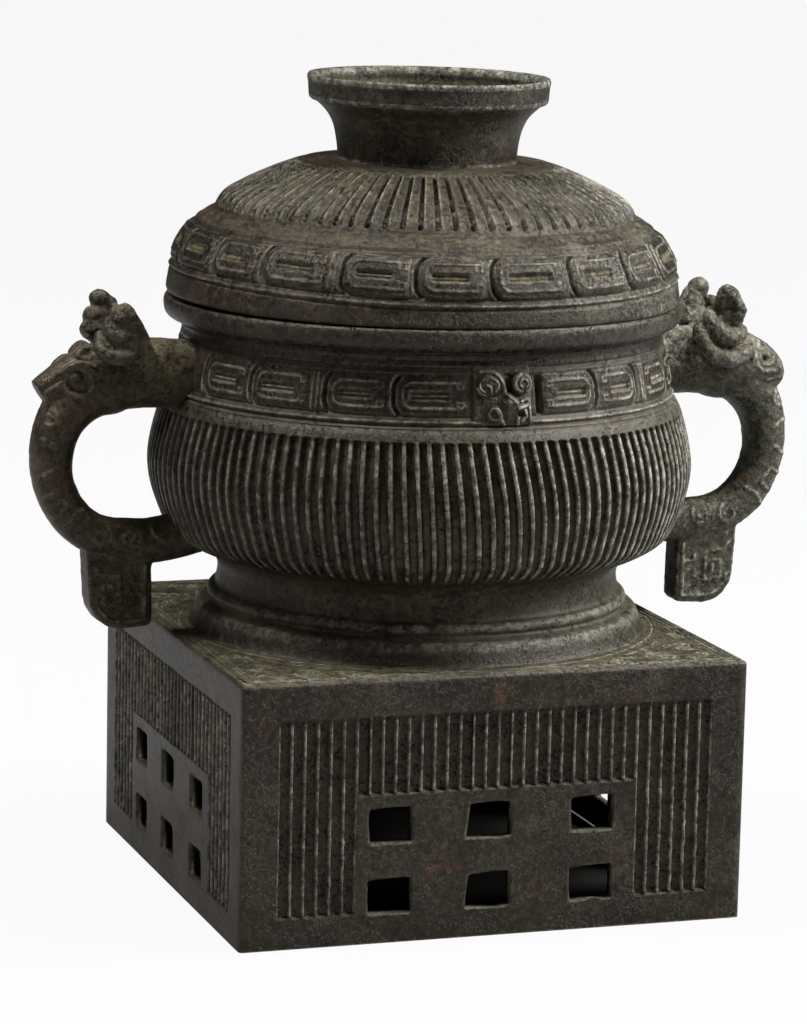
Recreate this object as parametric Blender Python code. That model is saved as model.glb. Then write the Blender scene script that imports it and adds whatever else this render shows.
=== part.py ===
"""Bronze gui: a lidded, two-handled food vessel cast in one with its square box base.

Two loose pieces: the vessel (bowl, ring foot, box base, handles with horned animal heads and
hanging pendants) and the lid (ribbed dome with a cup-shaped ring knob).
Metres, +Z up, origin at the centre of the base's underside, handles along X, mask towards -Y.
"""
import math

import bmesh
import bpy
import numpy as np

MM = 0.001

# ---------------------------------------------------------------- driving dimensions
BASE_WIDTH = 228 * MM
BASE_HEIGHT = 115 * MM
BASE_WALL = 4.5 * MM
BASE_CORNER = 2.0 * MM

OVERLAP = 3 * MM
SHARP_EDGE = math.radians(30)

SMOOTH_SIDES = 32
INNER_SIDES = 24
KNOB_SIDES = 24

# flutes: radial grooves with sharp crests between them
BODY_RIBS = 130
LID_RIBS = 76
# depth at each ring of the flutes' profiles, shallow where they run out
BODY_FLUTE_DEPTHS = (1.3 * MM, 2.2 * MM, 2.2 * MM, 2.2 * MM)
LID_FLUTE_DEPTHS = (1.1 * MM, 2.2 * MM, 2.2 * MM, 1.3 * MM)

# fluted panel of each side of the base, measured along the side and up it
PANEL_HALF = 98 * MM
PANEL_TOP = 99 * MM
PANEL_FOOT = 13 * MM
PANEL_RIBS = 35
LONG_FLUTES = 6
SHORT_FLUTE_FOOT = 64.7 * MM
PANEL_DEPTH = 2.0 * MM

WINDOW_SIZE = (20.3 * MM, 16 * MM)
WINDOW_CENTRES = (-48.0 * MM, -3.2 * MM, 43.5 * MM)
WINDOW_HEIGHTS = (20.5 * MM, 51.5 * MM)

# turned profiles, (radius, height) in millimetres, from the bottom up
FOOT_PROFILE = ((104.6, 112), (101, 118.5), (99.6, 124), (94.8, 126), (93.4, 131.4), (89.8, 136),
                (91.4, 146))
BODY_FLUTE_PROFILE = ((98.0, 150.2), (115, 161.6), (121.7, 188), (117, 213))
SHOULDER_PROFILE = ((116.2, 215), (111.8, 222.2), (107.7, 243.2), (106, 249.6), (113.4, 253.4),
                    (115.2, 257.4), (115.2, 261))
BOWL_CAVITY = ((0, 150), (84, 152.6), (109.4, 165.4), (114.8, 188), (109.6, 213), (106.8, 223),
               (102, 246), (102.4, 249.8), (106.8, 254.2), (106.8, 264))
FOOT_CAVITY = ((97, 100), (97, 117), (89.2, 127), (85, 135), (85, 142), (80.5, 147), (0, 145.4))

DOME_PROFILE = ((104.6, 254.8), (104.6, 261.3), (114.8, 261.3), (115.3, 265), (113.8, 271.8),
                (107.4, 290.2), (100.6, 296.8), (95.2, 298.9))
LID_FLUTE_PROFILE = ((94.4, 299.6), (92.2, 304.8), (79.4, 313), (60, 320))
CROWN_PROFILE = ((58.4, 320.8), (39.8, 323))
KNOB_PROFILE = ((40.8, 332), (45, 343.6), (52.6, 349.4), (53.4, 352), (53.4, 360))
DOME_CAVITY = ((100.8, 250), (100.8, 263), (108.6, 267.5), (108.2, 275), (102.6, 287.6),
               (86.4, 300.6), (60, 314), (0, 318.4))
KNOB_CAVITY = ((0, 323), (34, 323.6), (36.4, 332), (40.8, 342), (49.4, 351), (50, 363))

# tile bands: each lies on a cone between two turned profile points
BODY_BAND = ((111.8, 222.2), (107.7, 243.2))
LID_BAND = ((113.8, 271.8), (107.4, 290.2))
TILE_RISE = 1.3 * MM
TILE_MARGIN = 0.11
TILE_GAP_DEGREES = 1.6

# widths of neighbouring tiles in degrees, each run starting at an azimuth counted from -Y to +X
BODY_TILE_RUNS = ((-75.6, (16.3, 16.4)), (-40.2, (14.7, 16.9)), (8.2, (14.9, 13.6)),
                  (38.7, (16, 16)))
LID_TILE_RUNS = ((-36.4, (15, 16.2, 18.8, 17.1, 16.9)), (49.4, (18.4, 18.4, 18.4, 18.4, 18.4)),
                 (143.2, (17.6, 17.6, 17.6, 17.6, 17.6)), (-127, (16.5, 16.4, 19.1, 17, 19)))

# handles: section stations in the XZ plane of the right-hand side, in millimetres
HANDLE_STATIONS = (
    # outer edge (x, z), inner edge (x, z), width across; from the neck round to the belly
    ((103, 244.2), (113, 215.4), 28),
    ((122, 246), (122, 215.6), 28),
    ((140, 245), (139, 214.8), 27),
    ((158, 236), (150.4, 211), 25),
    ((171, 221), (157.4, 203.4), 23),
    ((177, 206), (159.8, 194.6), 22),
    ((178.0, 192), (159.6, 186.4), 21),
    ((174.2, 175), (154.6, 175.6), 21),
    ((163.6, 159.2), (145.6, 168.4), 20),
    ((146, 149.6), (132, 166.4), 20),
    ((124, 146.6), (122, 166.6), 20),
    ((97.6, 151.6), (112.6, 168.6), 20),
)
HANDLE_CORNER = 0.3
# the right handle was cast a little closer to the bowl than the left one
HANDLE_SHIFTS = {-1: 0, 1: -1.6}

HEAD_STATIONS = (
    # upper edge (x, z), lower edge (x, z), width across; from nape to snout
    ((130, 242), (132, 219), 22),
    ((145, 246.4), (146, 212), 29),
    ((157, 243), (158, 213), 28),
    ((167.4, 236.6), (167.6, 215.4), 21),
    ((176.6, 228.8), (173, 219.2), 16),
)
HEAD_CORNER = 0.28

HORN_BASE = (140, 13.4, 232)
HORN_TIP = (141.8, 20, 265.6)
# radius against the share of the way from base to tip, swelling in three coils
HORN_PROFILE = ((0, 11.4), (0.16, 13.8), (0.38, 9.4), (0.52, 10.2), (0.66, 6.6), (0.84, 6.8),
                (1, 2.4))
HORN_SIDES = 7
EYE_CENTRE = (161, 12.2, 230.6)
EYE_RADIUS = 5.2
PENDANT_THICKNESS = 14
PENDANT_OUTLINE = ((125, 156), (124.4, 121.6), (126.2, 119.6), (138.6, 118.6), (147, 121.8),
                   (152.4, 128), (154.4, 136), (154.8, 156))

# masks on the body band, in millimetres across, up and out from the bowl's axis
MASK_AZIMUTH = -0.6
MASK_PLATE = ((-12, 221), (-5, 219.4), (5, 219.4), (12, 221), (12.6, 246.6), (-12.6, 246.6))
MASK_REACH = 113.4
MASK_BOSSES = (
    # across, height, radius, rise in front of the plate
    (-7.4, 240.2, 5.2, 3.4),
    (7.4, 240.2, 5.2, 3.8),
    (-6.4, 227, 4.0, 2.4),
    (6.4, 227, 4.0, 2.4),
)
# half width, foot, top, rise in front of the plate
MASK_NOSE = (3.2, 222, 241, 4.4)
PLATE_DEPTH = 9
BEDDED = 2
BOSS_SIDES = 6
BOSS_TAPER = 0.65
NOSE_TAPER = 0.35


# ---------------------------------------------------------------- scene and materials
def clear_scene():
    for item in list(bpy.data.objects):
        bpy.data.objects.remove(item, do_unlink=True)


def bronze(name, colour, roughness):
    """Aged bronze: a dark green-brown metal."""
    material = bpy.data.materials.new(name)
    material.use_nodes = True
    shader = material.node_tree.nodes["Principled BSDF"]
    shader.inputs["Base Color"].default_value = (*colour, 1)
    shader.inputs["Roughness"].default_value = roughness
    shader.inputs["Metallic"].default_value = 0.6
    return material


def new_collection(name):
    collection = bpy.data.collections.new(name)
    bpy.context.scene.collection.children.link(collection)
    return collection


def mesh_object(name, shape, collection, helper=True):
    """Object from a bmesh with its faces turned outwards; a helper only feeds the Booleans."""
    bmesh.ops.recalc_face_normals(shape, faces=shape.faces)
    mesh = bpy.data.meshes.new(name)
    shape.to_mesh(mesh)
    shape.free()
    mesh.shade_smooth()
    mesh.set_sharp_from_angle(angle=SHARP_EDGE)
    item = bpy.data.objects.new(name, mesh)
    collection.objects.link(item)
    if helper:
        item.hide_render = True
        item.display_type = "WIRE"
    return item


def boolean(item, operation, collection):
    modifier = item.modifiers.new(f"{operation} {collection.name}", "BOOLEAN")
    modifier.operation = operation
    modifier.solver = "EXACT"
    modifier.operand_type = "COLLECTION"
    modifier.collection = collection


def plan_turn(angle):
    """Matrix that turns a plan position about Z."""
    return np.array(((math.cos(angle), -math.sin(angle)), (math.sin(angle), math.cos(angle))))


# ---------------------------------------------------------------- turned and fluted shapes
def ring(radius, height, sides):
    """Points of a level circle, which goes in and out where radius is a list."""
    turn = 2 * math.pi * np.arange(sides) / sides
    return np.column_stack((radius * np.sin(turn), -radius * np.cos(turn), np.full(sides, height)))


def smooth_rings(profile, sides):
    return [ring(radius * MM, height * MM, sides) for radius, height in profile]


def fluted_rings(profile, ribs, depths):
    """Rings whose points alternate between crest and trough."""
    rings = []
    for (radius, height), depth in zip(profile, depths):
        wave = np.tile((radius * MM, radius * MM - depth), ribs)
        rings.append(ring(wave, height * MM, 2 * ribs))
    return rings


def stitch(shape, low, high):
    """Skin between two closed rows of points that may differ in number."""
    low_count, high_count = len(low), len(high)
    if low_count == high_count:
        for i in range(low_count):
            j = (i + 1) % low_count
            shape.faces.new((low[i], low[j], high[j], high[i]))
        return
    i = j = 0
    while i < low_count or j < high_count:
        step_low = j >= high_count or (i < low_count and (i + 1) / low_count <= (j + 1) / high_count)
        tip = low[(i + 1) % low_count] if step_low else high[(j + 1) % high_count]
        shape.faces.new((low[i % low_count], tip, high[j % high_count]))
        i, j = (i + 1, j) if step_low else (i, j + 1)


def loft(rings):
    """Closed solid through a stack of rings, ending flat or, where a ring is a point, in a tip."""
    shape = bmesh.new()
    rows = []
    for points in rings:
        if np.ptp(points[:, 0]) < 1e-9 and np.ptp(points[:, 1]) < 1e-9:
            points = points[:1]
        rows.append([shape.verts.new(point) for point in points])
    for low, high in zip(rows[:-1], rows[1:]):
        if len(low) == 1 or len(high) == 1:
            tip, base = (low[0], high) if len(low) == 1 else (high[0], low)
            for i, point in enumerate(base):
                shape.faces.new((point, base[(i + 1) % len(base)], tip))
        else:
            stitch(shape, low, high)
    for row in (rows[0], rows[-1]):
        if len(row) > 1:
            shape.faces.new(row)
    return shape


def turned(name, profile, sides, collection):
    return mesh_object(name, loft(smooth_rings(profile, sides)), collection)


# ---------------------------------------------------------------- box base
def side_of_base(shape, corner_points, rotation):
    """One outer side of the base with its sunk flutes, turned into place about Z."""
    spacing = 2 * PANEL_HALF / (PANEL_RIBS - 1)
    turn = plan_turn(rotation)
    made = {}

    def point(along, height, inward=0.0):
        key = (round(along / MM, 3), round(height / MM, 3), round(inward / MM, 3))
        if key not in made:
            plan = turn @ (along, inward - BASE_WIDTH / 2)
            made[key] = shape.verts.new((plan[0], plan[1], height))
        return made[key]

    crests = [-PANEL_HALF + spacing * i for i in range(PANEL_RIBS)]
    last = PANEL_RIBS - 1
    feet = [PANEL_FOOT if i < LONG_FLUTES or i >= last - LONG_FLUTES else SHORT_FLUTE_FOOT
            for i in range(last)]
    inner = (LONG_FLUTES, last - LONG_FLUTES)
    for i, foot in enumerate(feet):
        middle = (crests[i] + crests[i + 1]) / 2
        trough_top = point(middle, PANEL_TOP - PANEL_DEPTH, PANEL_DEPTH)
        trough_foot = point(middle, foot + PANEL_DEPTH, PANEL_DEPTH)
        left = [point(crests[i], foot), point(crests[i], PANEL_TOP)]
        right = [point(crests[i + 1], foot), point(crests[i + 1], PANEL_TOP)]
        if foot == PANEL_FOOT and i + 1 == inner[0]:
            right.insert(1, point(crests[i + 1], SHORT_FLUTE_FOOT))
        if foot == PANEL_FOOT and i == inner[1]:
            left.insert(1, point(crests[i], SHORT_FLUTE_FOOT))
        shape.faces.new([trough_top, trough_foot, *left])
        shape.faces.new([trough_foot, trough_top, *reversed(right)])
        shape.faces.new((left[-1], right[-1], trough_top))
        shape.faces.new((right[0], left[0], trough_foot))

    # plain frame round the flutes, and the plain field that holds the windows
    (left_foot, left_top), (right_foot, right_top) = corner_points
    top_row = [point(x, PANEL_TOP) for x in crests]
    foot_row = [point(x, PANEL_FOOT) for x in crests[:inner[0] + 1] + crests[inner[1]:]]
    field_row = [point(x, SHORT_FLUTE_FOOT) for x in crests[inner[0]:inner[1] + 1]]
    shape.faces.new([left_top, *top_row, right_top])
    shape.faces.new([right_foot, *reversed(foot_row), left_foot])
    shape.faces.new([left_foot, foot_row[0], top_row[0], left_top])
    shape.faces.new([right_foot, right_top, top_row[-1], foot_row[-1]])
    shape.faces.new([foot_row[inner[0]], foot_row[inner[0] + 1], *reversed(field_row)])


def base_block():
    """Square block with clipped upright edges and four fluted sides."""
    shape = bmesh.new()
    half = BASE_WIDTH / 2
    clipped = half - BASE_CORNER
    sides = []
    for quarter in range(4):
        rotation = quarter * math.pi / 2
        turn = plan_turn(rotation)
        ends = []
        for along in (-clipped, clipped):
            x, y = turn @ (along, -half)
            ends.append((shape.verts.new((x, y, 0)), shape.verts.new((x, y, BASE_HEIGHT))))
        side_of_base(shape, ends, rotation)
        sides.append(ends)
    for ends, following in zip(sides, sides[1:] + sides[:1]):
        (_, right), (left, _) = ends, following
        shape.faces.new((right[0], left[0], left[1], right[1]))
    corners = [corner for ends in sides for corner in ends]
    shape.faces.new([foot for foot, _ in corners])
    shape.faces.new([top for _, top in corners])
    return shape


def box(name, low, high, collection):
    shape = bmesh.new()
    bmesh.ops.create_cube(shape, size=1)
    size = np.subtract(high, low)
    centre = np.add(high, low) / 2
    bmesh.ops.scale(shape, verts=shape.verts, vec=size)
    bmesh.ops.translate(shape, verts=shape.verts, vec=centre)
    return mesh_object(name, shape, collection)


def cut_base_hollow(collection):
    half = BASE_WIDTH / 2 - BASE_WALL
    box("base hollow", (-half, -half, -OVERLAP), (half, half, BASE_HEIGHT - BASE_WALL), collection)


def cut_windows(collection):
    """Six windows in each side: square bars run right through the base both ways."""
    reach = BASE_WIDTH / 2 + OVERLAP
    half_width, half_height = WINDOW_SIZE[0] / 2, WINDOW_SIZE[1] / 2
    for height in WINDOW_HEIGHTS:
        for centre in WINDOW_CENTRES:
            low, high = height - half_height, height + half_height
            box("window bar x", (-reach, centre - half_width, low),
                (reach, centre + half_width, high), collection)
            box("window bar y", (centre - half_width, -reach, low),
                (centre + half_width, reach, high), collection)


# ---------------------------------------------------------------- tile bands
def on_band(band, azimuth, across, rise):
    """Point on a cone-shaped band; across runs 0 to 1 from its foot to its top."""
    (foot_radius, foot_height), (top_radius, top_height) = band
    slope = math.atan2(foot_radius - top_radius, top_height - foot_height)
    radius = (foot_radius + (top_radius - foot_radius) * across) * MM + rise * math.cos(slope)
    height = (foot_height + (top_height - foot_height) * across) * MM + rise * math.sin(slope)
    turn = math.radians(azimuth)
    return (radius * math.sin(turn), -radius * math.cos(turn), height)


def tile(name, band, start, width, round_end, collection):
    """Raised plate on a band: a square end, and a round end towards round_end (-1 or 1)."""
    outline = ((1, 0), (1, 1), (0.2, 1), (0, 0.72), (0, 0.28), (0.2, 0))
    shape = bmesh.new()
    levels = []
    for rise in (-OVERLAP / 2, TILE_RISE):
        row = []
        for along, across in outline:
            share = along if round_end < 0 else 1 - along
            azimuth = start + TILE_GAP_DEGREES / 2 + share * (width - TILE_GAP_DEGREES)
            height = TILE_MARGIN + across * (1 - 2 * TILE_MARGIN)
            row.append(shape.verts.new(on_band(band, azimuth, height, rise)))
        levels.append(row)
    stitch(shape, *levels)
    for row in levels:
        shape.faces.new((row[0], row[1], row[2], row[5]))
        shape.faces.new(row[2:6])
    mesh_object(name, shape, collection)


def tile_runs(name, band, runs, collection, turn=0.0, mirrored=False):
    """Rows of tiles, their round ends all one way, or away from the middle when mirrored."""
    for start, widths in runs:
        azimuth = start
        for width in widths:
            round_end = 1 if mirrored and start > 0 else -1
            tile(name, band, azimuth + turn, width, round_end, collection)
            azimuth += width


# ---------------------------------------------------------------- handles
def rounded_section(outer, inner, width, corner):
    """Eight-sided section between an outer and an inner edge point of the XZ plane."""
    outer, inner = np.array(outer), np.array(inner)
    half = width / 2
    points = []
    for share, across in ((0, 1 - 2 * corner), (corner, 1), (1 - corner, 1), (1, 1 - 2 * corner),
                          (1, 2 * corner - 1), (1 - corner, -1), (corner, -1), (0, 2 * corner - 1)):
        x, z = outer + (inner - outer) * share
        points.append((x * MM, across * half * MM, z * MM))
    return np.array(points)


def on_side(points, side):
    """Points of the right-hand handle taken to either side of the bowl."""
    return points * (side, 1, 1) + (HANDLE_SHIFTS[side] * MM, 0, 0)


def handle_loop(side, collection):
    rings = [on_side(rounded_section(*station, HANDLE_CORNER), side) for station in HANDLE_STATIONS]
    mesh_object("handle loop", loft(rings), collection)


def handle_head(side, collection):
    rings = [on_side(rounded_section(*station, HEAD_CORNER), side) for station in HEAD_STATIONS]
    mesh_object("animal head", loft(rings), collection)


def handle_horn(side, cheek, collection):
    """Coiled horn: a cone in three swelling turns, leaning outwards."""
    base = on_side(np.array(HORN_BASE) * MM * (1, cheek, 1), side)
    tip = on_side(np.array(HORN_TIP) * MM * (1, cheek, 1), side)
    axis = (tip - base) / np.linalg.norm(tip - base)
    first = np.cross(axis, (0, 1, 0))
    first /= np.linalg.norm(first)
    second = np.cross(axis, first)
    turn = 2 * math.pi * np.arange(HORN_SIDES) / HORN_SIDES
    circle = np.outer(np.cos(turn), first) + np.outer(np.sin(turn), second)
    rings = [base + (tip - base) * share + radius * MM * circle for share, radius in HORN_PROFILE]
    mesh_object("horn", loft(rings), collection)


def handle_eye(side, cheek, collection):
    shape = bmesh.new()
    bmesh.ops.create_icosphere(shape, subdivisions=1, radius=EYE_RADIUS * MM)
    centre = on_side(np.array(EYE_CENTRE) * MM * (1, cheek, 1), side)
    bmesh.ops.translate(shape, verts=shape.verts, vec=centre)
    mesh_object("eye", shape, collection)


def handle_pendant(side, collection):
    half = PENDANT_THICKNESS / 2 * MM
    rings = []
    for y in (-half, half):
        rings.append(on_side(np.array([(x * MM, y, z * MM) for x, z in PENDANT_OUTLINE]), side))
    mesh_object("pendant", loft(rings), collection)


def handles(collection):
    for side in (-1, 1):
        handle_loop(side, collection)
        handle_head(side, collection)
        handle_pendant(side, collection)
        for cheek in (-1, 1):
            handle_horn(side, cheek, collection)
            handle_eye(side, cheek, collection)


# ---------------------------------------------------------------- masks on the body band
def mask(turn, with_horns, collection):
    """Small animal mask: a plate with a nose ridge and, at the front, horn coils and curls."""
    angle = math.radians(MASK_AZIMUTH + turn)
    across = np.array((math.cos(angle), math.sin(angle), 0))
    front = np.array((math.sin(angle), -math.cos(angle), 0))
    up = np.array((0, 0, 1))

    def place(x, z, out):
        return (across * x + up * z + front * out) * MM

    def disc(x, z, radius):
        turns = [2 * math.pi * i / BOSS_SIDES for i in range(BOSS_SIDES)]
        return [(x + radius * math.cos(turn), z + radius * math.sin(turn)) for turn in turns]

    def raised(name, levels):
        rings = [np.array([place(x, z, out) for x, z in outline]) for out, outline in levels]
        mesh_object(name, loft(rings), collection)

    raised("mask plate", ((MASK_REACH - PLATE_DEPTH, MASK_PLATE), (MASK_REACH, MASK_PLATE)))
    for x, z, radius, rise in MASK_BOSSES if with_horns else ():
        raised("mask boss", ((MASK_REACH - BEDDED, disc(x, z, radius)),
                             (MASK_REACH + rise, disc(x, z, radius * BOSS_TAPER))))
    half, foot, top, rise = MASK_NOSE
    base = ((-half, foot), (half, foot), (half, top), (-half, top))
    ridge = [(x * NOSE_TAPER, z) for x, z in base]
    raised("mask nose", ((MASK_REACH - BEDDED, base), (MASK_REACH + rise, ridge)))


# ---------------------------------------------------------------- the two pieces
def build_vessel():
    material = bronze("vessel bronze", (0.085, 0.083, 0.066), 0.5)
    added = new_collection("vessel additions")
    hollows = new_collection("vessel hollows")
    flutes = fluted_rings(BODY_FLUTE_PROFILE, BODY_RIBS, BODY_FLUTE_DEPTHS)
    rings = [*smooth_rings(FOOT_PROFILE, SMOOTH_SIDES), *flutes,
             *smooth_rings(SHOULDER_PROFILE, SMOOTH_SIDES)]
    vessel = mesh_object("vessel", loft(rings), bpy.context.scene.collection, helper=False)
    vessel.data.materials.append(material)
    mesh_object("base block", base_block(), added)
    handles(added)
    for turn in (0, 180):
        tile_runs("body tile", BODY_BAND, BODY_TILE_RUNS, added, turn, mirrored=True)
        mask(turn, turn == 0, added)
    cut_base_hollow(hollows)
    cut_windows(hollows)
    turned("bowl cavity", BOWL_CAVITY, INNER_SIDES, hollows)
    turned("foot cavity", FOOT_CAVITY, INNER_SIDES, hollows)
    boolean(vessel, "UNION", added)
    boolean(vessel, "DIFFERENCE", hollows)
    return vessel


def build_lid():
    material = bronze("lid bronze", (0.1, 0.098, 0.078), 0.5)
    added = new_collection("lid additions")
    hollows = new_collection("lid hollows")
    flutes = fluted_rings(LID_FLUTE_PROFILE, LID_RIBS, LID_FLUTE_DEPTHS)
    rings = [*smooth_rings(DOME_PROFILE, SMOOTH_SIDES), *flutes, *smooth_rings(CROWN_PROFILE, KNOB_SIDES),
             *smooth_rings(KNOB_PROFILE, KNOB_SIDES)]
    lid = mesh_object("lid", loft(rings), bpy.context.scene.collection, helper=False)
    lid.data.materials.append(material)
    tile_runs("lid tile", LID_BAND, LID_TILE_RUNS, added)
    turned("dome cavity", DOME_CAVITY, INNER_SIDES, hollows)
    turned("knob cavity", KNOB_CAVITY, KNOB_SIDES, hollows)
    boolean(lid, "UNION", added)
    boolean(lid, "DIFFERENCE", hollows)
    return lid


clear_scene()
build_vessel()
build_lid()
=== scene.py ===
"""Dressed model of a bronze gui: a lidded, two-handled food vessel on a square box base.

Every surface is a numpy grid carried round the bowl's axis, along a wall or along a handle,
with its relief worked out in millimetres from the same sizes as the solids.
"""

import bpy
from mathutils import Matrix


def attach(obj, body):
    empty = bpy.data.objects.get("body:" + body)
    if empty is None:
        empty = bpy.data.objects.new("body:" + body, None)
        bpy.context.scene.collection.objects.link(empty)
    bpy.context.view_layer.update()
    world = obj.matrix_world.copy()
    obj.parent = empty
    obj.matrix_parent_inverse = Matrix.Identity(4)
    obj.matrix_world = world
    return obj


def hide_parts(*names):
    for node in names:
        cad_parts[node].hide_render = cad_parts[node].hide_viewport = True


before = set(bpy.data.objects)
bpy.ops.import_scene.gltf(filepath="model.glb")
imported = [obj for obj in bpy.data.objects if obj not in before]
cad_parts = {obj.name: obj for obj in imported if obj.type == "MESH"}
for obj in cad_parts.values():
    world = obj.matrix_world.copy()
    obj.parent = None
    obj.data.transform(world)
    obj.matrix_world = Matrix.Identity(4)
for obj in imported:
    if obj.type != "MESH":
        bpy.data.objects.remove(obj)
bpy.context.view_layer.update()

import math

import bpy
import numpy as np
from mathutils import Matrix, Vector

# ================================================================ bowl
# The belly of the vessel: cast bronze about 5 mm thick, its outside worked into upright ribs
# between sunk flutes that end in small arches under the shoulder. Inside it is plain.
MM = 0.001
RIBS = 130
RIB_STATIONS = np.array((-0.19, -0.135, 0.0, 0.135, 0.19, 0.32, 0.5, 0.68))
RIB_HALF = 0.14
FLUTE_DEPTH = 2.4
LEAN = 0.00115
FLUTE_TOP = 214.2
BOWL_TOP = 219.4
BELLY = ((98.0, 150.2), (103.2, 152.4), (112.2, 158.6), (117.0, 168.4), (120.2, 178.4), (121.6, 189.6),
         (119.9, 202), (117.4, 211), (116.4, 214.2), (115.3, 216.8), (113.8, BOWL_TOP))
INSIDE = ((107.2, BOWL_TOP - 1.5), (110.4, 211), (114.6, 190), (109.4, 165), (84, 152.6), (40, 150.4))


def through(points, count, dense=(), rail=None):
    """Smooth run through rows of numbers: a cubic in chord length, with slopes taken from the
    neighbours. Lengths are measured along rail; dense lists extra stations as shares of them."""
    points = np.asarray(points, float)
    rail = points if rail is None else rail
    chord = np.r_[0, np.cumsum(np.linalg.norm(np.diff(rail, axis=0), axis=1))]
    slope = np.gradient(points, chord, axis=0)
    at = np.unique(np.r_[np.linspace(0, chord[-1], count), np.asarray(dense) * chord[-1]])
    k = np.clip(np.searchsorted(chord, at, side="right") - 1, 0, len(chord) - 2)
    span = (chord[k + 1] - chord[k])[:, None]
    t = (at - chord[k])[:, None] / span
    return ((2 * t**3 - 3 * t**2 + 1) * points[k] + (t**3 - 2 * t**2 + t) * span * slope[k]
            + (3 * t**2 - 2 * t**3) * points[k + 1] + (t**3 - t**2) * span * slope[k + 1])


def ease(x):
    """Smooth step: 0 below 0, 1 above 1."""
    x = np.clip(x, 0, 1)
    return x * x * (3 - 2 * x)


def hump(x, width):
    """Bell-shaped bump: 1 where x is 0, about a third one width away."""
    return np.exp(-((x / width) ** 2))


def wobble(*coords, seed=1, octaves=3):
    """Slow hand-made unevenness between -1 and 1: products of sines that don't repeat."""
    total = 0
    for n in range(octaves):
        wave = 1
        for k, c in enumerate(coords):
            wave = wave * np.sin(c * (1.0 + 0.93 * n + 0.21 * k) + seed * 1.7 + n * 2.9 + k * 4.3)
        total = total + wave / (1 + n)
    return total / 1.6


def round_points(radius, height, azimuth):
    """Cylinder coordinates in mm and radians to metres; azimuth 0 is -Y and grows towards +X."""
    return np.stack((radius * np.sin(azimuth), -radius * np.cos(azimuth), height + 0 * radius), -1) * MM


def numbered(grid, start=0):
    """The point numbers of a grid of points."""
    rows, columns = grid.shape[:2]
    return start + np.arange(rows * columns).reshape(rows, columns)


def quads(index, wrap_rows=False, wrap_columns=True):
    """Faces between neighbours of a grid of point numbers."""
    if wrap_columns:
        index = np.c_[index, index[:, :1]]
    if wrap_rows:
        index = np.r_[index, index[:1]]
    return np.stack((index[:-1, :-1], index[:-1, 1:], index[1:, 1:], index[1:, :-1]), -1).reshape(-1, 4)


def fan(ring, centre, upwards):
    """Triangles from a ring of point numbers to a centre point."""
    following = np.roll(ring, -1)
    order = (ring, following) if upwards else (following, ring)
    return np.stack((*order, np.full_like(ring, centre)), -1)


def as_object(name, mesh):
    """Puts a mesh into the scene."""
    piece = bpy.data.objects.new(name, mesh)
    bpy.context.scene.collection.objects.link(piece)
    return piece


def make_mesh(name, points, faces, dust=0, worn=0, bare=0, form=1.0):
    """Mesh object from points and face arrays of three or more corners, with its marks."""
    points = points.reshape(-1, 3)
    mesh = bpy.data.meshes.new(name)
    mesh.vertices.add(len(points))
    mesh.vertices.foreach_set("co", points.astype(np.float32).ravel())
    sizes = np.concatenate([np.full(len(part), part.shape[1]) for part in faces])
    corners = np.concatenate([part.ravel() for part in faces])
    mesh.loops.add(len(corners))
    mesh.loops.foreach_set("vertex_index", corners.astype(np.int32))
    mesh.polygons.add(len(sizes))
    mesh.polygons.foreach_set("loop_start", np.r_[0, np.cumsum(sizes)[:-1]].astype(np.int32))
    mesh.update(calc_edges=True)
    mesh.validate()
    mesh.shade_smooth()
    mark_form(mesh, dust, worn, bare, form)
    return as_object(name, mesh)


def read_points(mesh):
    """Places and outward directions of a mesh's points, three numbers a row."""
    found = []
    for source, kind in ((mesh.vertices, "co"), (mesh.vertex_normals, "vector")):
        flat = np.empty(len(source) * 3, np.float32)
        source.foreach_get(kind, flat)
        found.append(flat.reshape(-1, 3).astype(float))
    return found


def mark_form(mesh, dust, worn, bare, form):
    """Marks that go with a mesh's points: dust, where earth has stayed, worn, where edges have
    been rubbed bright, and bare, where dark smooth metal shows. In places they also carry painted
    light: dust and worn as painted light and painted highlights, bare as painted shade. Each is
    one number or one for every point, with 0 for missing ends. The first two are read from the
    form too, weighted by form: how far a point lies under or over its neighbours."""
    place, outward = read_points(mesh)
    count = len(place)
    edges = np.empty(len(mesh.edges) * 2, np.int32)
    mesh.edges.foreach_get("vertices", edges)
    a, b = edges.reshape(-1, 2).T
    tail, head = np.r_[a, b], np.r_[b, a]
    near = np.maximum(np.bincount(tail, minlength=count), 1)
    smooth = place.copy()
    depth = []
    for step in range(12):
        smooth = np.stack([np.bincount(tail, smooth[head, k], count) / near for k in range(3)], -1)
        if step in (2, 11):
            depth.append(np.einsum("ij,ij->i", smooth - place, outward) / MM)
    fine, broad = depth
    hollow = form * ease(0.5 * fine / 0.12 + 0.5 * broad / 0.35)
    crest = form * ease(-fine / 0.11 - 0.1)
    for mark, read, given in (("dust", hollow, dust), ("worn", crest, worn), ("bare", None, bare)):
        given = np.asarray(given, float).ravel()
        value = np.full(count, given[0]) if given.size == 1 else np.pad(given, (0, count - given.size))
        value = value if read is None else np.clip(read + value, 0, 1)
        mesh.attributes.new(mark, "FLOAT", "POINT").data.foreach_set("value", value.astype(np.float32))


def flute_shape(share, half=RIB_HALF, full=4.0):
    """Depth from 0 to 1 across one rib and its flute: thin crest, round-bottomed hollow."""
    across = np.abs((share + 0.5) % 1 - 0.5)
    w = np.clip((0.5 - across) / (0.5 - half), 0, 1)
    return np.where(across <= half, 0, np.clip(1 - w**full, 0, 1) ** 0.7), w


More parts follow.
